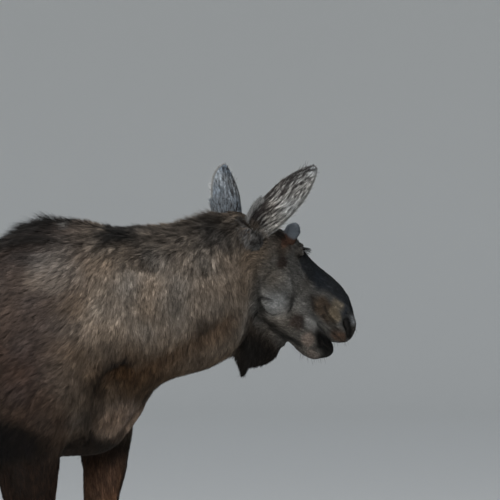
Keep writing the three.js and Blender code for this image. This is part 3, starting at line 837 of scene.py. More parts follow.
COLOURS = {
    "back": tone(48, 40, 36),
    "flank": tone(46, 37, 33),
    "belly": tone(28, 21, 17),
    "crest": tone(12, 11, 10),
    "shoulder": tone(77, 72, 68),
    "upper_arm": tone(42, 33, 27),
    "neck": tone(84, 76, 68),
    "neck_top": tone(50, 46, 42),
    "ochre": tone(50, 36, 23),
    # painted shade, darker low on the neck
    "low_neck_shade": tone(38, 29, 20),
    # also painted over the neck's underside as shade
    "throat": tone(50, 41, 33),
    "breast": tone(82, 71, 63),
    "upper_leg": tone(23, 15, 10),
    "inner_leg": tone(68, 49, 37),
    "shank": tone(136, 127, 116),
    "face": tone(75, 73, 70),
    "brow": tone(62, 52, 43),
    # pale cheek hair, laid on partly as a painted highlight
    "cheek": tone(116, 114, 111),
    "bridge": tone(38, 40, 43),
    "muzzle": tone(110, 99, 83),
    # also painted as a highlight below the eye
    "nose": tone(128, 129, 130),
    # black hair and skin, also painted as shade into creases, folds and grooves
    "black": tone(7, 7, 7),
    # also painted as shade into the folds of the upper lip
    "dark": tone(30, 26, 23),
    "lip": tone(68, 56, 45),
    "lip_red": tone(82, 65, 54),
    "redbrown": tone(56, 46, 42),
    # a dark reddish-brown spot in the temple's hollow
    "temple_spot": tone(40, 31, 27),
    # painted shadow behind the elbows and under the brisket
    "shadow_under_chest": tone(9, 7, 5),
    "tan": tone(110, 99, 92),
    "bell": tone(16, 14, 12),
    "bell_edge": tone(56, 49, 45),
    "ear_pale": tone(118, 119, 119),
    # the far ear's pale hair, painted darker and bluer as shade
    "ear_far": tone(91, 97, 103),
    "ear_dark": tone(30, 28, 28),
    "ear_skin": tone(70, 64, 60),
    "white": tone(150, 148, 144),
    "rust": tone(80, 56, 44),
}


def patch(colours, q, centre, radii, name, strength=1.0):
    """Blends a soft patch of colour in around a centre."""
    r = np.sqrt((((q - np.array(centre)) / np.array(radii)) ** 2).sum(axis=1))
    return mix(colours, COLOURS[name], strength * (1 - smooth(0.45, 1.0, r)))


# Ochre hair along the groove low on the neck, with painted shade in the groove.
NECK_BAND = [(0.17, 0.150, 1.262), *LOW_NECK, (0.462, 0.111, 1.424)]  # the ochre band

# Patches on the body: place on either side, reach, colour and strength.
BODY_PATCHES = [
    ((0.03, 0.19, 1.50), (0.22, 0.24, 0.20), "shoulder", 0.15),
    ((0.09, 0.19, 1.585), (0.12, 0.24, 0.12), "shoulder", 0.95),
    ((0.09, 0.12, 1.66), (0.07, 0.12, 0.05), "shoulder", 0.5),
    ((-0.24, 0.08, 1.70), (0.20, 0.20, 0.13), "crest", 1.0),
    ((0.00, 0.06, 1.73), (0.20, 0.14, 0.06), "crest", 0.9),
    ((0.06, 0.24, 1.10), (0.26, 0.14, 0.12), "upper_arm", 0.8),
    # painted shadow behind the elbow
    ((-0.10, 0.22, 1.035), (0.26, 0.18, 0.10), "shadow_under_chest", 1.0),
    ((-0.25, 0.24, 1.06), (0.18, 0.14, 0.10), "upper_arm", 0.6),
    ((0.27, 0.05, 1.13), (0.10, 0.10, 0.14), "breast", 0.85),
    # painted shadow under the brisket
    ((0.20, 0.04, 1.02), (0.20, 0.18, 0.085), "shadow_under_chest", 0.95),
    ((0.089, 0.029, 1.718), (0.028, 0.040, 0.028), "white", 0.95),
]
NECK_PATCHES = [  # in the neck's own coordinates
    ((0.165, 0.050, 1.690), (0.085, 0.080, 0.065), "crest", 1.0),
    ((0.225, 0.105, 1.630), (0.055, 0.080, 0.080), "crest", 0.35),
    ((0.394, 0.127, 1.410), (0.060, 0.070, 0.046), "crest", 0.6),
    ((0.500, 0.070, 1.700), (0.130, 0.130, 0.080), "crest", 0.45),
    # painted shade low on the neck
    ((0.30, 0.10, 1.22), (0.28, 0.12, 0.08), "low_neck_shade", 0.8),
]
HEAD_PATCHES = [
    ((0.150, 0.085, 0.000), (0.060, 0.060, 0.060), "brow", 0.8),
    ((0.158, 0.084, 0.012), (0.024, 0.035, 0.026), "rust", 0.85),
    # painted shadow beside the bud's root, towards the ear
    ((0.130, 0.082, 0.022), (0.024, 0.040, 0.024), "black", 0.7),
    # a dark reddish-brown spot in the temple's hollow
    ((0.185, 0.090, -0.049), (0.034, 0.045, 0.030), "temple_spot", 0.85),
    # Pale cheek hair along the jaw and behind the mouth, partly a painted highlight.
    ((0.235, 0.079, -0.090), (0.065, 0.060, 0.040), "cheek", 0.55),
    ((0.265, 0.072, -0.165), (0.100, 0.070, 0.055), "cheek", 0.95),
    ((0.425, 0.045, -0.120), (0.042, 0.045, 0.022), "cheek", 0.9),
    ((0.345, 0.060, -0.105), (0.045, 0.050, 0.040), "cheek", 0.5),
    ((0.379, 0.050, -0.143), (0.036, 0.050, 0.034), "redbrown", 0.75),
    ((0.437, 0.058, -0.050), (0.075, 0.045, 0.042), "lip", 0.95),
    ((0.468, 0.063, -0.010), (0.034, 0.040, 0.022), "muzzle", 0.6),
    ((0.474, 0.063, -0.042), (0.040, 0.040, 0.026), "muzzle", 0.75),
    ((0.548, 0.050, -0.080), (0.060, 0.045, 0.024), "lip_red", 0.95),
    ((0.552, 0.058, -0.010), (0.034, 0.055, 0.024), "nose", 1.0),
    ((0.590, 0.040, -0.062), (0.018, 0.030, 0.012), "nose", 0.7),
    # black chin hair, deepened as painted shadow under the mouth
    ((0.505, 0.035, -0.128), (0.062, 0.060, 0.040), "black", 1.0),
    ((0.545, 0.025, -0.135), (0.045, 0.060, 0.050), "black", 1.0),
    ((0.445, 0.045, -0.160), (0.036, 0.045, 0.034), "tan", 0.8),
    ((0.515, 0.030, -0.178), (0.055, 0.045, 0.014), "tan", 0.6),
    ((0.100, 0.090, -0.040), (0.060, 0.050, 0.060), "neck", 0.6),
]
BRIDGE_EDGE = (  # of the dark bridge of the nose: along the face, and up
    (0.22, 0.28, 0.37, 0.43, 0.49, 0.53, 0.58),
    (0.030, -0.014, -0.020, 0.006, 0.010, -0.004, 0.030),
)
# Most of these lines are painted shade in the head's folds and grooves; one is a painted highlight.
DARK_LINES = [  # on the head: the line, half its width, colour and strength
    # dark nostril skin, with painted shade inside the slit
    (NOSTRIL, 0.0180, "black", 1.0),
    ([(0.484, 0.060, 0.022), (0.496, 0.062, 0.006), (0.508, 0.065, -0.014)], 0.0120, "bridge", 1.0),
    # painted shade along the jaw's lower edge
    (JAW_EDGE, 0.0120, "black", 0.85),
    # painted shade in the furrow on the jaw's angle
    (CURL, 0.0050, "black", 0.8),
    # painted shade in the folds of the upper lip
    (FOLDS[0], 0.0060, "dark", 0.8),
    (FOLDS[1], 0.0060, "dark", 0.8),
    (FOLDS[2], 0.0090, "dark", 0.7),
    # dark lips, with painted shade in the groove between them
    ([(0.452, 0.060, -0.099), (0.515, 0.055, -0.097), (0.590, 0.035, -0.094)], 0.0050, "black", 0.9),
    # painted shade in the crease under the antler bud
    ([(0.150, 0.085, 0.018), (0.171, 0.080, 0.028), (0.190, 0.074, 0.034)], 0.007, "black", 0.7),
    # painted highlight: a pale streak before and below the eye
    ([(0.244, 0.078, 0.000), (0.262, 0.072, -0.010), (0.300, 0.068, -0.022)], 0.007, "nose", 0.35),
]


def coat_colour(p, normals):
    """The coat's colour at each point, the same for skin and hair."""
    c = COLOURS
    s = shares(p)
    b, h = side_of(s["body"]), side_of(s["face"])
    neck = side_of(neck_coordinates(p)[0])
    height = b[:, 2] + 0.04 * noise(p, 0.12, 9) + 0.015 * noise(p, 0.03, 10)
    out = mix(c["belly"], c["flank"], smooth(0.98, 1.2, height))
    out = mix(out, c["back"], smooth(1.38, 1.58, height))
    throat = smooth(0.06, 0.26, b[:, 0])
    out = mix(out, c["neck"], throat)
    out = mix(out, c["neck_top"], throat * smooth(1.56, 1.68, height) * 0.8)
    # Painted shade: darker low on the neck.
    low = throat * (1 - smooth(1.28, 1.44, height))
    out = mix(out, c["low_neck_shade"], low * 0.75)
    # Ochre hair with painted shade, along the groove low on the neck.
    ochre = np.exp(-((path_gap(NECK_BAND, neck, 0 * normals) / 0.040) ** 2))
    out = mix(out, c["ochre"], ochre * smooth(0.10, 0.18, b[:, 0]) * 0.85)
    # Painted shade: the neck's downward-facing skin takes the darker throat colour.
    under = s["neck"] * (1 - smooth(-0.85, -0.45, normals[:, 2]))
    out = mix(out, c["throat"], under * 0.9)
    for centre, radii, name, strength in BODY_PATCHES:
        out = patch(out, b + 0.02 * noise_vector(p, 0.05, 5), centre, radii, name, strength)
    # Painted shade: black along the crease between the shoulder and the breast, stronger above its low end.
    gap = path_gap(np.array(CREASE) + (0, 0, 0.018), b, 0 * normals)
    top = smooth(1.18, 1.25, b[:, 2])
    crease = np.exp(-((gap / (0.034 - 0.006 * top)) ** 4))
    out = mix(out, c["black"], crease * (0.50 + 0.49 * top))
    behind_head = s["head"] < 0.9
    for centre, radii, name, strength in NECK_PATCHES:
        ragged = neck + 0.012 * noise_vector(p, 0.03, 6)
        out = patch(out, ragged, centre, radii, name, strength * behind_head)
    out = mix(out, c["upper_leg"], s["leg"] * (1 - smooth(1.0, 1.15, height)))
    inward = smooth(0.0, 0.5, -np.sign(s["body"][:, 1]) * normals[:, 1])
    out = mix(out, c["inner_leg"], s["leg"] * inward * (1 - smooth(0.86, 1.02, height)) * 0.9)
    out = mix(out, c["shank"], s["leg"] * (1 - smooth(0.46, 0.70, height)))
    out = mix(out, c["upper_leg"], s["leg"] * (1 - smooth(0.07, 0.13, b[:, 2])) * 0.7)
    # Painted shadow behind the elbow, laid again over the legs' colours.
    out = patch(out, b, (-0.05, 0.21, 1.045), (0.21, 0.18, 0.10), "shadow_under_chest", 1.0)
    crest = crest_share(p, normals)
    out = mix(out, c["crest"], crest * (0.42 + 0.55 * hump_share(b)))
    out = mix(out, head_colour(h, p, normals), s["head"])
    bell = s["bell"] * (1 - smooth(1.36, 1.43, b[:, 2]))
    out = mix(out, c["throat"], s["bell"] * 0.9)
    out = mix(out, c["bell"], bell)
    edge = smooth(0.19, 0.26, (p - HEAD_ORIGIN) @ HEADING)
    out = mix(out, c["bell_edge"], bell * edge * 0.7)
    for ear in EARS:
        out = mix(out, ear_colour(ear, p, normals), ear.share(p))
    grain = 1 + 0.13 * noise(p, 0.05, 1) + 0.10 * noise(p, 0.016, 2)
    warm = 0.10 * noise(p, 0.07, 8)[:, None] * np.array([1.0, 0.1, -0.9])
    return np.clip(out * (grain[:, None] + warm), 0.002, 0.9)


def stretched(p, way, size, seed):
    """Noise drawn out along the lie of the coat, for its streaks."""
    steps = (-0.9, -0.3, 0.3, 0.9)
    return sum(noise(p + way * (size * 2.2 * step), size, seed) for step in steps) * 0.5


def head_colour(h, p, normals):
    c = COLOURS
    out = np.tile(c["face"], (len(h), 1))
    out = mix(out, c["neck"], 1 - smooth(0.04, 0.20, h[:, 0] + 0.02 * noise(p, 0.04, 12)))
    spread = h + 0.007 * noise_vector(p, 0.022, 13)
    for centre, radii, name, strength in HEAD_PATCHES:
        out = patch(out, spread, centre, radii, name, strength)
    over = smooth(-0.012, 0.014, spread[:, 2] - np.interp(spread[:, 0], *BRIDGE_EDGE))
    out = mix(out, c["bridge"], over * smooth(0.225, 0.27, spread[:, 0]))
    turned = side_of(normals @ HEAD_AXES.T)
    for line, width, name, strength in DARK_LINES:
        weight = np.exp(-((path_gap(line, h, turned) / width) ** 2))
        out = mix(out, c[name], weight * strength)
    eye = 1 - smooth(0.019, 0.027, eye_gap(p))
    return mix(out, c["dark"], eye * 0.8)


def ear_colour(ear, p, normals):
    """Streaked dark hair at the root and along the back edge, pale at the rim and inside."""
    c = COLOURS
    q = ear.local(p)
    run = q[:, 0] / EAR["length"]
    half, _ = ear.outline(run)
    across = q[:, 1] / np.maximum(half, 0.01)
    curved = q + np.stack([0 * run, 0.010 * np.sin(run * 11), 0 * run], axis=1)
    streak = 1.6 * noise(curved * (0.14, 1, 1), 0.0030, 31) + 0.3 * noise(curved * (0.3, 1, 1), 0.009, 32)
    if ear.sign < 0:
        pale = 0.38 + 0.42 * across - 0.42 * (1 - smooth(0.10, 0.42, run)) * (across < 0.55)
    else:
        pale = 0.60 - 0.25 * across - 0.10 * (1 - smooth(0.10, 0.35, run))
    pale = pale + 0.5 * smooth(0.84, 1.0, np.abs(across))
    share = smooth(-0.75, 0.95, streak + 2.4 * (pale - 0.5))
    # The far ear's pale hair is painted darker and bluer, as shade.
    out = mix(c["ear_dark"], c["ear_pale"] if ear.sign < 0 else c["ear_far"], share)
    inner = smooth(0.1, 0.6, normals @ ear.axes[2])
    inside = mix(c["ear_skin"], c["ear_pale"], smooth(0.3, 0.9, np.abs(across)) * 0.7)
    return mix(out, inside, inner)


# ---------- flow of the coat ----------


def flow(p, normals):
    """The way the hair lies at each point, along the skin."""
    s = shares(p)
    b = s["body"]
    side = np.sign(b[:, 1])[:, None] * np.array([0, 1.0, 0])
    low = 1 - smooth(1.15, 1.45, b[:, 2])
    trunk = np.array([-1.0, 0, -0.35]) - low[:, None] * np.array([0, 0, 0.5])
    rump = 1 - smooth(-1.25, -1.05, b[:, 0])
    trunk = mix(trunk, np.array([-0.2, 0, -1.0]), rump)
    shoulder = smooth(-0.35, 0.0, b[:, 0])
    trunk = mix(trunk, np.array([-0.80, 0, -0.75]), shoulder)
    trunk = mix(trunk, np.array([-0.30, 0, -1.0]), smooth(0.10, 0.28, b[:, 0]))
    neck, ahead = neck_coordinates(p)
    out = mix(trunk, DOWN - 0.12 * ahead + 0.25 * noise(p, 0.14, 55)[:, None] * ahead, s["neck"])
    out = mix(out, np.array([0.05, 0, -1.0]), s["leg"])
    s_head = s["head"]
    out = mix(out, -FACE + 0.40 * DOWN, s_head)
    out = mix(out, DOWN - 0.25 * HEADING, s["bell"])
    crest = crest_share(p, normals)
    out = mix(out, -0.9 * ahead + 0.45 * side - 0.1 * DOWN, crest * 0.9)
    for ear in EARS:
        q = ear.local(p)
        half, _ = ear.outline(q[:, 0] / EAR["length"])
        spread = np.clip(q[:, 1] / np.maximum(half, 0.01), -1, 1)
        inner = smooth(0.1, 0.6, normals @ ear.axes[2])
        way = ear.axes[0] + ear.axes[1] * (spread * (0.15 + 0.45 * inner))[:, None]
        out = mix(out, way, smooth(0.2, 0.7, ear.share(p)))
    out = out + 0.16 * noise_vector(p, 0.10, 40)
    out = out - normals * (out * normals).sum(axis=1)[:, None]
    return unit(out)


def along_skin(v, normals):
    return v - normals * (v * normals).sum(axis=1)[:, None]


def locks(p, size, seed):
    """The lock each hair belongs to: its middle, and random numbers that its hairs share."""
    q = p / size + 500
    cell = np.floor(q).astype(np.int64)
    best = np.full(len(p), np.inf)
    middle, code = np.zeros_like(q), np.zeros_like(cell)
    for step in np.ndindex(3, 3, 3):
        c = cell + np.array(step) - 1
        spot = c + np.stack([lattice(c, seed + k) for k in range(3)], axis=1)
        gap = ((spot - q) ** 2).sum(axis=1)
        near = gap < best
        best = np.where(near, gap, best)
        middle[near], code[near] = spot[near], c[near]
    shared = np.stack([lattice(code, seed + 10 + k) for k in range(5)], axis=1)
    return (middle - 500) * size, shared


# ---------- tufts ----------

UV_PATCH = 0.003  # width of each tuft's place on the UV map


def strands(count, length, width, rise, curl=0.0, sink=0.001, roll=0.4):
    """Sizes of a batch of strands; a plain number holds for all of them."""
    return {
        "length": np.broadcast_to(length, count),
        "width": np.broadcast_to(width, count),
        "rise": np.broadcast_to(rise, count),
        "curl": np.broadcast_to(curl, (count, 3)),
        "sink": sink,
        "roll": roll,
    }


class Tufts:
    """Many tufts of hair, gathered a batch at a time and then made into one mesh."""

    def __init__(self, levels=1):
        self.levels = levels
        self.points, self.colours, self.uv = [], [], []

    def add(self, root, normal, way, hair, tints, place, rng, strand=0):
        """hair has each strand's length, width, rise, sink, curl and roll; tints its two colours."""
        across = unit(np.cross(normal, way))
        across = unit(across + normal * rng.uniform(-hair["roll"], hair["roll"], len(root))[:, None])
        rows, shades, spots = [], [], []
        for k in range(self.levels + 1):
            s = k / self.levels
            lift = hair["rise"] * math.sin(0.5 * math.pi * min(1.0, s * 1.15)) - hair["sink"]
            centre = root + way * (hair["length"] * s)[:, None] + normal * lift[:, None]
            centre = centre + hair["curl"] * s * s
            shade = mix(tints[0], tints[1], np.full(len(root), s**0.8))
            offset = (s - 0.5) * UV_PATCH
            beside = (strand - 1) * UV_PATCH / 3
            if k == self.levels:
                rows.append(centre)
                shades.append(shade)
                spots.append(place + np.array([beside, offset]))
                continue
            half = across * (hair["width"] * (0.5 - 0.18 * s))[:, None]
            for sign in (-1, 1):
                rows.append(centre + half * sign)
                shades.append(shade)
                spots.append(place + np.array([beside + sign * UV_PATCH / 6, offset]))
        self.points.append(np.stack(rows, axis=1))
        self.colours.append(np.stack(shades, axis=1))
        self.uv.append(np.stack(spots, axis=1))

    def build(self, name):
        points = np.concatenate(self.points)
        count, per = points.shape[:2]
        base = (np.arange(count) * per)[:, None]
        faces = []
        if self.levels > 1:
            quad = np.array([0, 1, 3, 2])
            faces.append(np.concatenate([base + quad + 2 * k for k in range(self.levels - 1)]))
        faces.append(base + np.array([per - 3, per - 2, per - 1]))
        mesh = make_mesh(name, points.reshape(-1, 3), faces)
        paint(mesh, "tint", np.concatenate(self.colours).reshape(-1, 3))
        corners = np.concatenate([f.reshape(-1) for f in faces])
        lay_out(mesh, np.concatenate(self.uv).reshape(-1, 2)[corners])
        mesh.materials.append(HAIR)
        ob = new_object(name, mesh)
        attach(ob, "root")
        return ob


def spread_out(place):
    """Places on an unwrap, moved and scaled to fill the square."""
    low, size = place.min(axis=0), np.maximum(np.ptp(place, axis=0), 1e-6)
    return (place - low) / size * 0.99 + 0.005


def unwrap(region, p):
    """Each point's place on a plain unwrap of its region: along it and round it."""
    if region.startswith("ear"):
        ear = next(e for e in EARS if e.side in region)
        q = ear.local(p)
        return np.stack([q[:, 0] / EAR["length"], np.arctan2(q[:, 2] + 0.012, q[:, 1])], axis=1)
    line = LINES[region]
    _, run, place = along(line, p)
    ahead = unit(line[-1] - line[0])
    reference = np.array([-1.0, 0, 0]) if abs(ahead[2]) > 0.7 else np.array([0, 0, 1.0])
    across = unit(np.cross(reference, ahead))
    over = np.cross(ahead, across)
    angle = np.arctan2((p - place) @ across, (p - place) @ over)
    if region in ("trunk", "neck", "head"):
        run = ((p - line[0]) @ ahead) / np.linalg.norm(line[-1] - line[0])
    return np.stack([run, angle], axis=1)


def region_of(p):
    """The name of the region each point belongs to."""
    s = shares(p)
    names = np.full(len(p), "trunk", dtype=object)
    names[s["neck"] > 0.35] = "neck"
    names[s["head"] > 0.5] = "head"
    low = s["body"][:, 2] < 1.02
    nearest = np.full(len(p), np.inf)
    for name in LEGS:
        d, _, _ = along(LINES[name], p)
        mine = low & (d < 0.17) & (d < nearest) & (s["head"] < 0.5)
        names[mine] = name
        nearest = np.where(mine, d, nearest)
    for ear in EARS:
        names[ear.share(p) > 0.5] = "ear_" + ear.side
    return names


class Skin:
    """The skin's triangles, for choosing roots on them."""

    def __init__(self, mesh):
        self.points, self.normals = points_of(mesh), normals_of(mesh)
        self.tris = triangles_of(mesh)
        corners = self.points[self.tris]
        cross = np.cross(corners[:, 1] - corners[:, 0], corners[:, 2] - corners[:, 0])
        self.area = 0.5 * np.linalg.norm(cross, axis=1)
        self.middles = corners.mean(axis=1)

    def roots(self, density, rng):
        """Random places on the skin, with so many for each square metre of each triangle."""
        weight = self.area * density
        total = weight.sum()
        count = int(total)
        marks = (np.arange(count) + rng.random(count)) * (total / count)
        chosen = np.searchsorted(np.cumsum(weight), marks).clip(0, len(weight) - 1)
        u, v = rng.random(count), rng.random(count)
        over = u + v > 1
        u, v = np.where(over, 1 - u, u), np.where(over, 1 - v, v)
        w = np.stack([1 - u - v, u, v], axis=1)[:, :, None]
        tri = self.tris[chosen]
        return (self.points[tri] * w).sum(axis=1), unit((self.normals[tri] * w).sum(axis=1))


def bare(p):
    """1 where no hair grows: in the nostrils, and between the lids and the lips."""
    h = to_head(p)
    q = side_of(h)
    nostril, _, _ = along(np.array(NOSTRIL), q)
    eye = np.zeros(len(p), bool)
    for sign in (1, -1):
        centre, axes = eye_frame(sign)
        local = (h - centre) @ axes.T
        flat = lid_reach(local[:, 1], local[:, 2]) < 1.5
        eye |= flat & (local[:, 0] > 0.0) & (local[:, 0] < 0.03)
    mouth = (np.abs(q[:, 2] - MOUTH["level"]) < 0.004) & (q[:, 0] > MOUTH["corner"])
    return ((nostril < 0.011) | eye | mouth).astype(float)


# Coat of each region: tufts for each square metre, length, width and rise of a strand, how far
# tufts lean apart and come together in locks, the size of a lock, the width and strength of the
# streaks, the number of pieces, and the slot.
COAT_KEYS = ("density", "length", "width", "rise", "lean", "gather", "lock", "streak", "contrast")
COAT_KEYS += ("pieces", "slot")
COAT_ROWS = {
    "trunk": (50000, 0.038, 0.0026, 0.0105, 0.5, 0.4, 0.013, 0.0038, 0.7, 3, "body_coat"),
    "neck": (190000, 0.036, 0.0020, 0.0110, 0.36, 0.35, 0.009, 0.0036, 0.8, 2, "body_coat"),
    "head": (200000, 0.0110, 0.0012, 0.0028, 0.30, 0.2, 0.006, 0.0034, 0.6, 2, "face_coat"),
    "leg": (50000, 0.021, 0.0021, 0.0042, 0.30, 0.3, 0.009, 0.0050, 0.7, 1, "leg_coat"),
    "ear": (290000, 0.013, 0.0010, 0.0034, 0.36, 0.4, 0.005, 0.0034, 0.9, 1, "ear_coat"),
}
COAT = {kind: dict(zip(COAT_KEYS, row)) for kind, row in COAT_ROWS.items()}
STRANDS = 3  # in each tuft
SUNK_ROOT = 0.15  # how deep a root lies, as a share of the rise
ROOT_SHADE, TIP_SHADE = 0.42, 1.5
SKIN_SHADE = 0.65  # the skin under the coat, against the coat


def kind_of(region):
    return COAT["leg" if "leg" in region else "ear" if "ear_" in region else region]


def thickness_of_growth(region, middles):
    """How much denser the coat grows at each place than its region's usual density."""
    if region == "trunk":
        return 0.62 + 1.9 * smooth(-0.40, -0.12, to_body(middles)[:, 0])
    return np.ones(len(middles))


def shape_hairs(region, kind, root, normal, s, shared, rng):
    """Length, width and rise of each tuft, and how strongly it joins its lock."""
    count = len(root)
    crest = crest_share(root, normal)
    hump = crest * hump_share(s["body"])
    length = kind["length"] * (1 + 0.20 * rng.standard_normal(count).clip(-2, 2))
    width = kind["width"] * (1 + 0.2 * rng.standard_normal(count).clip(-2, 2))
    rise = kind["rise"] * (0.55 + 0.6 * shared[:, 3] + 0.35 * rng.random(count))
    gather = np.full(count, kind["gather"])
    if region in ("trunk", "neck"):
        length = length * (1 + 0.10 * crest + 0.45 * hump)
        rise = rise + (0.004 * crest + 0.017 * hump) * (0.3 + rng.random(count))
        width = width / np.sqrt(thickness_of_growth(region, root) / 1.4)
        nape = nape_share(s, root)
        length, rise = length * (1 + 0.3 * nape), rise + 0.026 * nape * rng.random(count)
        gather = gather + 0.4 * hump + 0.3 * nape
    if region == "head":
        nape = 1 - smooth(0.0, 0.12, s["face"][:, 0])
        jaw = smooth(0.13, 0.20, -s["face"][:, 2]) * (1 - smooth(0.30, 0.42, s["face"][:, 0]))
        muzzle = smooth(0.33, 0.45, s["face"][:, 0])
        length = length * (1 + 1.5 * nape + 2.2 * s["bell"] + 0.5 * jaw - 0.42 * muzzle)
        rise = rise * (1 + 2.4 * nape + 3.4 * s["bell"] - 0.35 * muzzle)
        width = width * (1 + 0.7 * nape + 1.0 * s["bell"])
        gather = gather + 0.4 * nape + 0.5 * s["bell"]
        near_eye = 1 - smooth(0.025, 0.05, eye_gap(root))
        length = length * (1 - 0.35 * near_eye)
    if "leg" in region:
        fetlock = smooth(0.085, 0.11, s["body"][:, 2]) * (1 - smooth(0.19, 0.24, s["body"][:, 2]))
        behind = fetlock * smooth(0.1, 0.6, -normal[:, 0])
        length, rise = length * (1 + 0.9 * behind), rise * (1 + 2.2 * behind)
    if region.startswith("ear"):
        ear = next(e for e in EARS if e.side in region)
        q = ear.local(root)
        run = q[:, 0] / EAR["length"]
        inner = smooth(0.1, 0.6, normal @ ear.axes[2])
        base = 1 - smooth(0.05, 0.35, run)
        length = length * (1 + 1.1 * base + 0.9 * inner)
        rise = rise * (1 + 1.6 * base + 0.6 * inner) * (1 - 0.4 * smooth(0.6, 1, run))
    return length, width, rise, gather


def nape_share(s, p):
    """1 on the raised mane behind the ears."""
    level = (p - HEAD_ORIGIN) @ HEADING
    top = smooth(1.68, 1.73, s["body"][:, 2])
    return top * smooth(-0.20, -0.12, level) * (1 - smooth(-0.04, 0.0, level))


def outline_tree():
    """A search tree of the solid flesh nodes, whose surface is at the tips of the coat."""
    points, faces, start = [], [], 0
    for name in FLESH:
        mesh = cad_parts[name].data
        points.append(points_of(mesh))
        faces.append(triangles_of(mesh) + start)
        start += len(mesh.vertices)
    points, faces = np.concatenate(points), np.concatenate(faces)
    return BVHTree.FromPolygons(points.tolist(), faces.tolist(), all_triangles=True)


def outside(p):
    """How far each point stands out of the solid outline; under 0 inside it."""
    gaps = np.empty(len(p))
    for i, q in enumerate(p.tolist()):
        q = Vector(q)
        place, normal, _, distance = OUTLINE.find_nearest(q)
        gaps[i] = math.copysign(distance, (q - place).dot(normal))
    return gaps


def held_in(root, way, normal, length, rise, s):
    """Shortens the tufts whose tips would stand out of the outline."""
    depth = 0.003 + 0.010 * (1 - s["leg"]) * (1 - s["head"])
    crest = crest_share(root, normal)
    allowed = 0.0015 + 0.012 * crest * hump_share(s["body"]) + 0.003 * crest
    allowed = allowed + 0.020 * nape_share(s, root)
    allowed = allowed + 0.008 * (1 - smooth(0.035, 0.055, eye_gap(root)))
    gap = outside(root + way * length[:, None] + normal * rise[:, None])
    keep = ((allowed + depth) / np.maximum(gap + depth, 1e-4)).clip(0.4, 1)
    return length * keep, rise * keep


def grow_coat(skin):
    rng = np.random.default_rng(SEED)
    regions = region_of(skin.middles)
    hairy = 1 - bare(skin.middles)
    for region in [*LINES, "ear_right", "ear_left"]:
        kind = kind_of(region)
        chosen = (regions == region) * hairy * thickness_of_growth(region, skin.middles)
        root, normal = skin.roots(chosen * kind["density"], rng)
        s = shares(root)
        middle, shared = locks(root, kind["lock"], 60)
        length, width, rise, gather = shape_hairs(region, kind, root, normal, s, shared, rng)
        lie = flow(root, normal)
        way = unit(lie + along_skin(kind["lean"] * (shared[:, :3] - 0.5), normal))
        length, rise = held_in(root, way, normal, length, rise, s)
        curl = along_skin(middle - root, normal) * gather[:, None]
        colour = coat_colour(root, normal)
        fine = stretched(root, lie, kind["streak"], 90)
        fine = fine + 0.25 * stretched(root, lie, 2.4 * kind["streak"], 91)
        over = smooth(1.52, 1.66, s["body"][:, 2]) * (1 - s["head"])
        raised = 0.5 * over + 0.5 * crest_share(root, normal) + 0.8 * nape_share(s, root)
        contrast = kind["contrast"] * (1 + raised)
        streak = np.exp(0.5 * (shared[:, 4] - 0.5) + contrast * fine)
        colour = colour * streak.clip(0.25, 2.6)[:, None]
        place = unwrap(region, root)
        order = np.argsort(place[:, 0]) if kind["pieces"] > 1 else np.arange(len(root))
        apart = 0.4 / math.sqrt(kind["density"])
        for number, part in enumerate(np.array_split(order, kind["pieces"])):
            tufts = Tufts()
            spots = spread_out(place[part])
            for strand in range(STRANDS):
                count = len(part)
                n = normal[part]
                moved = root[part] + along_skin(apart * rng.standard_normal((count, 3)), n)
                lean = unit(way[part] + along_skin(0.07 * rng.standard_normal((count, 3)), n))
                size = rng.uniform(0.75, 1.1, count)
                wide = width[part] * rng.uniform(0.7, 1.2, count)
                sink = SUNK_ROOT * kind["rise"]
                hair = strands(count, length[part] * size, wide, rise[part] * size, curl[part], sink, 0.5)
                shade = colour[part] * rng.uniform(0.55, 1.45, count)[:, None]
                tints = (shade * ROOT_SHADE, np.clip(shade * TIP_SHADE, 0, 0.9))
                tufts.add(moved, n, lean, hair, tints, spots, rng, strand)
            suffix = f"_{number + 1}" if kind["pieces"] > 1 else ""
            tufts.build(f"coat_{region}{suffix}")


def blades(tufts, root, normal, way, hair, dark, light, rng, place):
    """A small batch of tufts in one pair of colours, such as lashes."""
    tints = (np.tile(dark, (len(root), 1)), np.tile(light, (len(root), 1)))
    tufts.add(root, normal, way, hair, tints, place, rng)


def fringe_ears():
    """Long pale hair along the rim of each ear."""
    rng = np.random.default_rng(SEED + 1)
    for ear in EARS:
        tufts = Tufts()
        count = 9000
        run = rng.uniform(0.06, 0.985, count)
        half, _ = ear.outline(run)
        sign = np.where(rng.random(count) < 0.5, 1.0, -1.0)
        across, out = sign * (half - EAR_COAT - 0.001), rng.uniform(-0.003, 0.003, count)
        local = np.stack([run * EAR["length"], across, out], axis=1)
        near_tip = smooth(0.85, 1.0, run)
        across, out = sign * (0.55 - 0.3 * near_tip), rng.uniform(-0.25, 0.35, count)
        lean = np.stack([0.85 + 0.5 * near_tip, across, out], axis=1)
        lean = unit(lean + 0.18 * rng.standard_normal((count, 3)))
        root, way = ear.world(local), lean @ ear.axes
        normal = unit(np.stack([0 * run, sign, 0 * run], axis=1)) @ ear.axes
        length = rng.uniform(0.004, 0.009, count) * (1 + 0.4 * (1 - run))
        pale = COLOURS["ear_pale"]
        spots = spread_out(np.stack([run, sign + rng.uniform(-0.5, 0.5, count)], axis=1))
        hair = strands(count, length, 0.0011, 0.001)
        blades(tufts, root, normal, way, hair, pale * 0.8, np.clip(pale * 1.5, 0, 0.9), rng, spots)
        tufts.build("fringe_" + ear.side)


# ---------- materials ----------


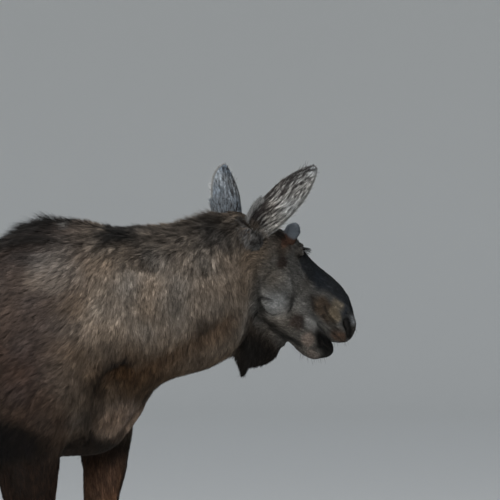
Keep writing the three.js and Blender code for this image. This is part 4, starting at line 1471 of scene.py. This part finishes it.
def surface(name, roughness, specular, bump=None, coat=0.0, speckle=0.0):
    """A material whose colour comes from the mesh's own tint, with a fine procedural grain."""
    mat = bpy.data.materials.new(name)
    mat.use_nodes = True
    tree = mat.node_tree
    shader = tree.nodes["Principled BSDF"]
    shader.inputs["Roughness"].default_value = roughness
    shader.inputs["Specular IOR Level"].default_value = specular
    shader.inputs["Coat Weight"].default_value = coat
    shader.inputs["Coat Roughness"].default_value = 0.03
    tint = tree.nodes.new("ShaderNodeAttribute")
    tint.attribute_name = "tint"
    colour = tint.outputs["Color"]
    if bump or speckle:
        grain = tree.nodes.new("ShaderNodeTexNoise")
        grain.inputs["Scale"].default_value = bump[0] if bump else 500
        grain.inputs["Detail"].default_value = 3
    if speckle:
        level = tree.nodes.new("ShaderNodeMapRange")
        level.inputs["To Min"].default_value = 1 - speckle
        level.inputs["To Max"].default_value = 1 + speckle
        tree.links.new(grain.outputs["Fac"], level.inputs["Value"])
        shade = tree.nodes.new("ShaderNodeVectorMath")
        shade.operation = "SCALE"
        tree.links.new(colour, shade.inputs[0])
        tree.links.new(level.outputs["Result"], shade.inputs["Scale"])
        colour = shade.outputs["Vector"]
    tree.links.new(colour, shader.inputs["Base Color"])
    if bump:
        relief = tree.nodes.new("ShaderNodeBump")
        relief.inputs["Strength"].default_value = 0.6
        relief.inputs["Distance"].default_value = bump[1]
        tree.links.new(grain.outputs["Fac"], relief.inputs["Height"])
        tree.links.new(relief.outputs["Normal"], shader.inputs["Normal"])
    return mat


SKIN_SURFACE = surface("skin", 0.75, 0.12, bump=(420, 0.001), speckle=0.3)
HAIR = surface("hair", 0.7, 0.08, speckle=0.25)
VELVET = surface("velvet", 0.9, 0.1, bump=(700, 0.0006), speckle=0.3)
HORN = surface("horn", 0.42, 0.4, bump=(260, 0.0006), speckle=0.35)
LID_SURFACE = surface("lid", 0.35, 0.5, bump=(900, 0.0003), speckle=0.2)
EYE_SURFACE = surface("eyeball", 0.12, 0.6, coat=1.0, speckle=0.12)


# ---------- eyes ----------


def eye_piece(side, sign):
    """An eyeball with a raised cornea, a dark brown iris and a level pupil."""
    centre, axes = eye_frame(sign)
    rings, turns = 40, 64
    polar = np.linspace(0, math.pi, rings + 1)[1:-1]
    angle = np.linspace(0, 2 * math.pi, turns, endpoint=False)
    theta, phi = np.meshgrid(polar, angle, indexing="ij")
    radius = (EYE["radius"] - 0.0006) * (1 + 0.05 * np.exp(-((theta / 0.55) ** 2)))
    local = np.stack([np.cos(theta), np.sin(theta) * np.cos(phi), np.sin(theta) * np.sin(phi)], axis=2)
    local = (local * radius[:, :, None]).reshape(-1, 3)
    front = np.array([[EYE["radius"] * 1.018, 0, 0], [-EYE["radius"], 0, 0]])
    local = np.concatenate([local, front])
    index = np.arange((rings - 1) * turns).reshape(rings - 1, turns)
    after = np.roll(index, -1, axis=1)
    quads = np.stack([index[:-1], index[1:], after[1:], after[:-1]], axis=2).reshape(-1, 4)
    tip, back = len(local) - 2, len(local) - 1
    caps = [np.stack([np.full(turns, tip), index[0], after[0]], axis=1)]
    caps.append(np.stack([np.full(turns, back), after[-1], index[-1]], axis=1))
    mesh = make_mesh("eye", from_head(local @ axes + centre), [quads, np.concatenate(caps)])
    across = np.hypot(local[:, 1], local[:, 2])
    pupil = np.hypot(local[:, 1] / 0.0062, local[:, 2] / 0.0034)
    spokes = 0.5 + 0.5 * np.sin(37 * np.arctan2(local[:, 2], local[:, 1])) * noise(local, 0.002, 71)
    tint = mix(tone(34, 22, 15), tone(66, 44, 28), spokes * smooth(0.003, 0.011, across))
    tint = mix(tint, tone(10, 8, 7), smooth(0.0108, 0.0125, across))
    tint = mix(tint, tone(72, 54, 44), smooth(0.0150, 0.0175, across) * 0.6)
    tint = mix(tone(3, 3, 4), tint, smooth(0.9, 1.1, pupil))
    tint = mix(tint, tone(60, 45, 40), (local[:, 0] < 0.004) * 0.8)
    paint(mesh, "tint", tint)
    mesh.materials.append(EYE_SURFACE)
    ob = new_object("eyeball_" + side, mesh)
    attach(ob, "root")
    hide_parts("eye_" + side)


def lid_piece(side, sign):
    """The bare dark edge of the lids round the opening, rolling over into the hair."""
    centre, axes = eye_frame(sign)
    turns = 96
    phase = np.linspace(0, 2 * math.pi, turns, endpoint=False)
    x = LID["middle"] + LID["half"] * np.cos(phase)
    height = np.where(np.sin(phase) > 0, LID["up"], LID["down"])
    y = height * np.sign(np.sin(phase)) * np.abs(np.sin(phase)) ** 1.3
    profile = [(0.92, -0.0012), (0.97, 0.0006), (1.03, 0.0024), (1.12, 0.0034)]
    profile += [(1.24, 0.0030), (1.36, 0.0014)]
    rows = []
    for scale, out in profile:
        px, py = LID["middle"] + (x - LID["middle"]) * (1 + (scale - 1) * 0.8), y * scale
        r = EYE["radius"] + out + 0.0006 * np.sin(phase * 9 + scale * 7) * (scale > 1)
        depth = np.sqrt(np.maximum(r**2 - px**2 - py**2, 1e-7))
        rows.append(np.stack([depth, px, py], axis=1))
    local = np.concatenate(rows)
    index = np.arange(len(profile) * turns).reshape(len(profile), turns)
    after = np.roll(index, -1, axis=1)
    quads = np.stack([index[:-1], after[:-1], after[1:], index[1:]], axis=2).reshape(-1, 4)
    mesh = make_mesh("lid", from_head(local @ axes + centre), [quads])
    shade = np.repeat(np.linspace(0, 1, len(profile)), turns)
    paint(mesh, "tint", mix(tone(14, 11, 10), tone(34, 29, 25), shade))
    mesh.materials.append(LID_SURFACE)
    ob = new_object("lid_" + side, mesh)
    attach(ob, "root")


def lashes(side, sign):
    """The lashes of one eye, long above and short below."""
    rng = np.random.default_rng(SEED + 5)
    centre, axes = eye_frame(sign)
    tufts = Tufts(4)
    for upper, count, reach in ((1, 64, 0.027), (-1, 24, 0.010)):
        place = np.linspace(-0.92, 0.92, count) + rng.uniform(-0.01, 0.01, count)
        x = LID["middle"] + LID["half"] * place
        y = np.sqrt(np.maximum(1 - place**2, 0)) * (LID["up"] if upper > 0 else -LID["down"]) * 1.02
        depth = np.sqrt((EYE["radius"] + 0.0026) ** 2 - x**2 - y**2)
        local = np.stack([depth, x, y], axis=1)
        lean = np.stack([np.full(count, 1.0), 0.16 * place, np.full(count, -0.02 - 0.03 * upper)], axis=1)
        lean = unit(lean + 0.05 * rng.standard_normal((count, 3)))
        droop = np.stack([0 * place, 0 * place, np.full(count, -0.004 * upper)], axis=1) @ axes
        root = from_head(local @ axes + centre)
        way = lean @ axes @ HEAD_AXES
        normal = np.tile(axes[2] * upper @ HEAD_AXES, (count, 1))
        length = reach * (1 - 0.35 * place**2) * rng.uniform(0.8, 1.1, count)
        curl = droop @ HEAD_AXES
        spots = spread_out(np.stack([place, np.full(count, upper) + rng.random(count)], axis=1))
        spots[:, 1] = 0.25 + 0.25 * upper * 0.9 + 0.2 * rng.random(count)
        dark = tone(8, 7, 7)
        hair = strands(count, length, 0.0009, 0.0, curl)
        blades(tufts, root, normal, way, hair, dark, dark * 1.5, rng, spots)
    tufts.build("lashes_" + side)


def fluff_ears():
    """Loose long hair round the root of each ear."""
    rng = np.random.default_rng(SEED + 2)
    for ear in EARS:
        tufts = Tufts(2)
        count = 4200
        run = rng.uniform(0.02, 0.34, count)
        half, depth = ear.outline(run)
        angle = rng.uniform(0.62, 1.02, count) * math.pi
        across, out = np.cos(angle), -np.sin(angle)
        local = np.stack([run * EAR["length"], (half - EAR_COAT) * across, (depth - EAR_COAT) * out], axis=1)
        lean = np.stack([0.9 - 0.9 * run, 0.75 * across, 0.45 * out], axis=1)
        lean = unit(lean + 0.22 * rng.standard_normal((count, 3)))
        root, way = ear.world(local), lean @ ear.axes
        normal = unit(np.stack([0 * run, across, out], axis=1)) @ ear.axes
        length = rng.uniform(0.010, 0.028, count) * (1.1 - 1.2 * run)
        # the far ear's pale hair painted darker, as shade
        pale = COLOURS["ear_pale"] if ear.sign < 0 else COLOURS["ear_far"] * 1.2
        dark = rng.random(count) < 0.35
        light = np.where(dark[:, None], COLOURS["ear_dark"], pale * 1.15)
        spots = spread_out(np.stack([run, angle], axis=1))
        curl = 0.25 * length[:, None] * unit(ear.axes[0] - 0.6 * across[:, None] * ear.axes[1])
        hair = strands(count, length, 0.0012, rng.uniform(0, 0.006, count), curl)
        tufts.add(root, normal, way, hair, (light * 0.55, np.clip(light * 1.3, 0, 0.9)), spots, rng)
        tufts.build("fluff_" + ear.side)


def ruff_ears():
    """Hair that springs from the head round the root of each ear and lies back over the join."""
    rng = np.random.default_rng(SEED + 3)
    for ear in EARS:
        tufts = Tufts(2)
        count = 6400
        angle = rng.uniform(0, 2 * math.pi, count)
        reach = rng.uniform(0.90, 1.35, count)
        half, depth = ear.outline(np.full(count, 0.05))
        across, out = np.cos(angle), np.sin(angle)
        up = rng.uniform(-0.02, 0.012, count)
        local = np.stack([up, half * reach * across, depth * reach * out - 0.004], axis=1)
        root, normal = nearest_skin(ear.world(local))
        fan = unit(np.stack([0 * across, across, out], axis=1)) @ ear.axes
        way = unit(along_skin(0.30 * ear.axes[0] + 0.45 * fan + 0.75 * flow(root, normal), normal))
        way = unit(way + 0.16 * rng.standard_normal((count, 3)))
        streak = noise(root, 0.006, 33) + 0.7 * rng.standard_normal(count)
        # the far ear's pale hair painted darker, as shade
        pale = COLOURS["ear_pale"] if ear.sign < 0 else COLOURS["ear_far"]
        pale = 0.6 * pale + 0.2 * COLOURS["neck"]
        light = mix(COLOURS["ear_dark"] * 1.3, pale, smooth(-0.9, 1.2, streak))
        length, rise = rng.uniform(0.014, 0.030, count), rng.uniform(0.004, 0.011, count)
        curl = 0.006 * DOWN + 0.004 * rng.standard_normal((count, 3))
        hair = strands(count, length, 0.0014, rise, curl, roll=0.5)
        spots = spread_out(np.stack([angle, reach], axis=1))
        tufts.add(root, normal, way, hair, (light * 0.7, np.clip(light * 1.3, 0, 0.9)), spots, rng)
        tufts.build("ruff_" + ear.side)


def whiskers():
    """Long stiff hairs on the chin and the lips."""
    rng = np.random.default_rng(SEED + 9)
    tufts = Tufts(3)
    spots = [((0.500, 0.035, -0.150), 0.030, 70, 0.026), ((0.545, 0.050, -0.070), 0.026, 50, 0.022)]
    for centre, spread, count, reach in spots:
        for sign in (1, -1):
            h = np.array(centre) * (1, sign, 1) + spread * rng.standard_normal((count, 3)).clip(-1.4, 1.4)
            root, normal = nearest_skin(from_head(h))
            way = unit(normal + 0.5 * (FACE + DOWN) + 0.35 * rng.standard_normal((count, 3)))
            length = reach * rng.uniform(0.5, 1.1, count)
            place = rng.random((count, 2)) * 0.98 + 0.01
            hair = strands(count, length, 0.0006, 0.0, DOWN * 0.006)
            blades(tufts, root, normal, way, hair, tone(20, 18, 16), tone(60, 56, 52), rng, place)
    tufts.build("whiskers")


def nearest_skin(p):
    """The nearest places on the skin, with the skin's normals there."""
    found = [SKIN_TREE.find_nearest(Vector(q)) for q in p]
    return np.array([tuple(f[0]) for f in found]), np.array([tuple(f[1]) for f in found])


# ---------- antler buds, hooves and dewclaws ----------


def refined(node, voxel, rounds, amount=0.8):
    """A CAD node's shape, rounded off."""
    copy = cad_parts[node].data.copy()
    mesh = remeshed(copy, voxel)
    mesh.materials.clear()
    put_points(mesh, relax(points_of(mesh), edges_of(mesh), rounds, np.full(len(mesh.vertices), amount)))
    return mesh


def bud_piece(side, sign):
    """A short antler bud in velvet, on a reddish root."""
    node = "antler_bud_" + side
    mesh = refined(node, 0.0028, 5)
    p = points_of(mesh)
    normals = normals_of(mesh)
    bumps = 0.0012 * noise(p, 0.010, 21) + 0.0006 * noise(p, 0.004, 22) - 0.0012
    h = to_head(p + normals * bumps[:, None])
    way = unit(np.array(BUD_WAY) * (1, sign, 1))
    foot = np.array([BUD["along"], sign * BUD["side"], BUD["up"]])
    run = (h - foot) @ way
    axis = foot + run[:, None] * way
    spread = np.linalg.norm(h - axis, axis=1)
    stout = np.maximum(spread, 0.0230 * (spread > 0.006) * (run < 0.028) * (run > -0.018))
    h = axis + (h - axis) * (stout / np.maximum(spread, 1e-4))[:, None]
    put_points(mesh, relax(from_head(h), edges_of(mesh), 2, np.full(len(h), 0.5)))
    # Reddish root to blue-grey velvet. The blue-grey is partly a painted sheen, and the paler tip is a
    # painted highlight.
    colour = mix(tone(58, 42, 34), tone(80, 86, 93), smooth(-0.002, 0.010, run + 0.004 * noise(p, 0.01, 23)))
    colour = mix(colour, tone(110, 116, 122), smooth(0.034, 0.050, run) * 0.6)
    colour = colour * (1 + 0.15 * noise(p, 0.006, 24))[:, None]
    paint(mesh, "tint", colour * 0.8)
    mesh.materials.append(VELVET)
    ob = new_object("bud_" + side, mesh)
    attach(ob, "root")
    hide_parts(node)
    rng = np.random.default_rng(SEED + 11)
    skin = Skin(mesh)
    root, normal = skin.roots(np.full(len(skin.area), 480000.0), rng)
    lean = along_skin(np.tile(way @ HEAD_AXES, (len(root), 1)), normal)
    lean = lean + 0.35 * rng.standard_normal((len(root), 3))
    h = to_head(root)
    run = (h - np.array([BUD["along"], sign * BUD["side"], BUD["up"]])) @ way
    # The same painted sheen and highlight on the velvet's hairs.
    colour = mix(tone(66, 47, 38), tone(84, 90, 98), smooth(-0.002, 0.010, run))
    colour = mix(colour, tone(118, 124, 130), smooth(0.034, 0.050, run) * 0.6)
    colour = colour * (1 + 0.2 * rng.standard_normal(len(root)))[:, None].clip(0.5, 1.6)
    count = len(root)
    length, rise = rng.uniform(0.0025, 0.0045, count), rng.uniform(0.0012, 0.0030, count)
    hair = strands(count, length, 0.0009, rise, sink=0.0005, roll=0.6)
    spots = spread_out(np.stack([run, np.arctan2(h[:, 1], h[:, 2])], axis=1))
    tufts = Tufts()
    tufts.add(root, normal, unit(lean), hair, (colour * 0.6, colour * 1.2), spots, rng)
    tufts.build("velvet_" + side)


def horn_piece(node):
    """A hoof or dewclaw: the CAD shape rounded off, with growth rings on a hoof."""
    mesh = refined(node, 0.0040 if node.startswith("hoof") else 0.0032, 3, 0.7)
    p = points_of(mesh)
    if node.startswith("hoof"):
        sole = 1 - smooth(0.004, 0.010, p[:, 2])
        p[:, 2] = p[:, 2] * (1 - sole) + np.maximum(p[:, 2] - 0.002, 0.0) * sole
        rings = 0.00025 * np.sin(p[:, 2] * 900 + 2 * noise(p, 0.05, 33)) * smooth(0.012, 0.02, p[:, 2])
        p = p + normals_of(mesh) * rings[:, None]
        p[:, 2] = np.maximum(p[:, 2], 0)
    put_points(mesh, p)
    wear = 1 - smooth(0.0, 0.02, p[:, 2])
    colour = mix(tone(34, 30, 27), tone(70, 62, 54), wear * 0.6)
    colour = colour * (1 + 0.2 * noise(p * (1, 1, 0.2), 0.006, 35))[:, None]
    paint(mesh, "tint", colour)
    mesh.materials.append(HORN)
    ob = new_object("horn_" + node, mesh)
    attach(ob, "root")
    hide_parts(node)


# ---------- stage ----------


def add_stage():
    """A wide pale floor that curves up to a low wall all round."""
    reach, bend, height, turns = 26.0, 4.0, 12.0, 96
    profile = [(0.0, 0.0), (8.0, 0.0), (reach, 0.0)]
    for a in np.linspace(0.1, math.pi / 2, 10):
        profile.append((reach + bend * math.sin(a), bend - bend * math.cos(a)))
    profile.append((reach + bend, height))
    angle = np.linspace(0, 2 * math.pi, turns, endpoint=False)
    round_it = np.stack([np.cos(angle), np.sin(angle), 0 * angle], axis=1)
    rows = [r * round_it + (0, 0, z) for r, z in profile[1:]]
    points = np.concatenate(rows + [np.zeros((1, 3))])
    index = np.arange((len(profile) - 1) * turns).reshape(-1, turns)
    after = np.roll(index, -1, axis=1)
    quads = np.stack([index[:-1], after[:-1], after[1:], index[1:]], axis=2).reshape(-1, 4)[:, ::-1]
    centre = np.stack([np.full(turns, len(points) - 1), index[0], after[0]], axis=1)
    mesh = make_mesh("floor", points, [quads, centre])
    mat = bpy.data.materials.new("floor")
    mat.use_nodes = True
    shader = mat.node_tree.nodes["Principled BSDF"]
    shader.inputs["Base Color"].default_value = (*tone(232, 232, 229), 1)
    shader.inputs["Roughness"].default_value = 0.9
    mesh.materials.append(mat)
    new_object("floor", mesh)


def area_light(name, place, target, size, power, colour):
    data = bpy.data.lights.new(name, "AREA")
    data.shape, data.size, data.energy, data.color = "DISK", size, power, colour
    ob = new_object(name, data)
    ob.location = Vector(place)
    ob.rotation_euler = (Vector(target) - Vector(place)).to_track_quat("-Z", "Y").to_euler()


def add_lights():
    world = bpy.data.worlds.new("studio")
    world.use_nodes = True
    world.node_tree.nodes["Background"].inputs["Color"].default_value = (0.86, 0.92, 1.0, 1)
    world.node_tree.nodes["Background"].inputs["Strength"].default_value = 0.42
    bpy.context.scene.world = world
    middle = from_body((0.1, 0, 1.3))
    area_light("overhead", middle + (-0.5, -1.0, 5.0), middle, 3.0, 500, (1.0, 0.98, 0.95))
    area_light("front", middle + (3.0, -6.0, 2.5), middle, 3.0, 270, (1.0, 0.97, 0.93))


def add_camera():
    yaw = math.radians(CAMERA["azimuth"])
    target = from_body(CAMERA["target"])
    back = np.array([math.sin(yaw), -math.cos(yaw), 0.0])
    data = bpy.data.cameras.new("camera")
    data.sensor_width = 36
    data.lens = data.sensor_width * CAMERA["distance"] / CAMERA["span"]
    data.clip_end = 200
    ob = new_object("camera", data)
    ob.location = Vector(target + back * CAMERA["distance"])
    ob.rotation_euler = Vector(-back).to_track_quat("-Z", "Y").to_euler()
    bpy.context.scene.camera = ob


# ---------- the moose ----------

add_camera()
add_lights()
add_stage()
bpy.context.scene.view_settings.view_transform = "Standard"

skin_mesh = build_skin()
paint(skin_mesh, "tint", coat_colour(points_of(skin_mesh), normals_of(skin_mesh)) * SKIN_SHADE)
skin_mesh.materials.clear()
skin_mesh.materials.append(SKIN_SURFACE)
skin_mesh.shade_smooth()
skin_ob = new_object("skin", skin_mesh)
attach(skin_ob, "root")
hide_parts(*FLESH)
graph = bpy.context.evaluated_depsgraph_get()
SKIN_TREE = BVHTree.FromObject(skin_ob, graph)
OUTLINE = outline_tree()

grow_coat(Skin(skin_mesh))
fringe_ears()
fluff_ears()
ruff_ears()
whiskers()
for side, sign in (("left", 1), ("right", -1)):
    eye_piece(side, sign)
    lid_piece(side, sign)
    lashes(side, sign)
    bud_piece(side, sign)
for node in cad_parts:
    if node.startswith(("hoof", "dewclaw")):
        horn_piece(node)
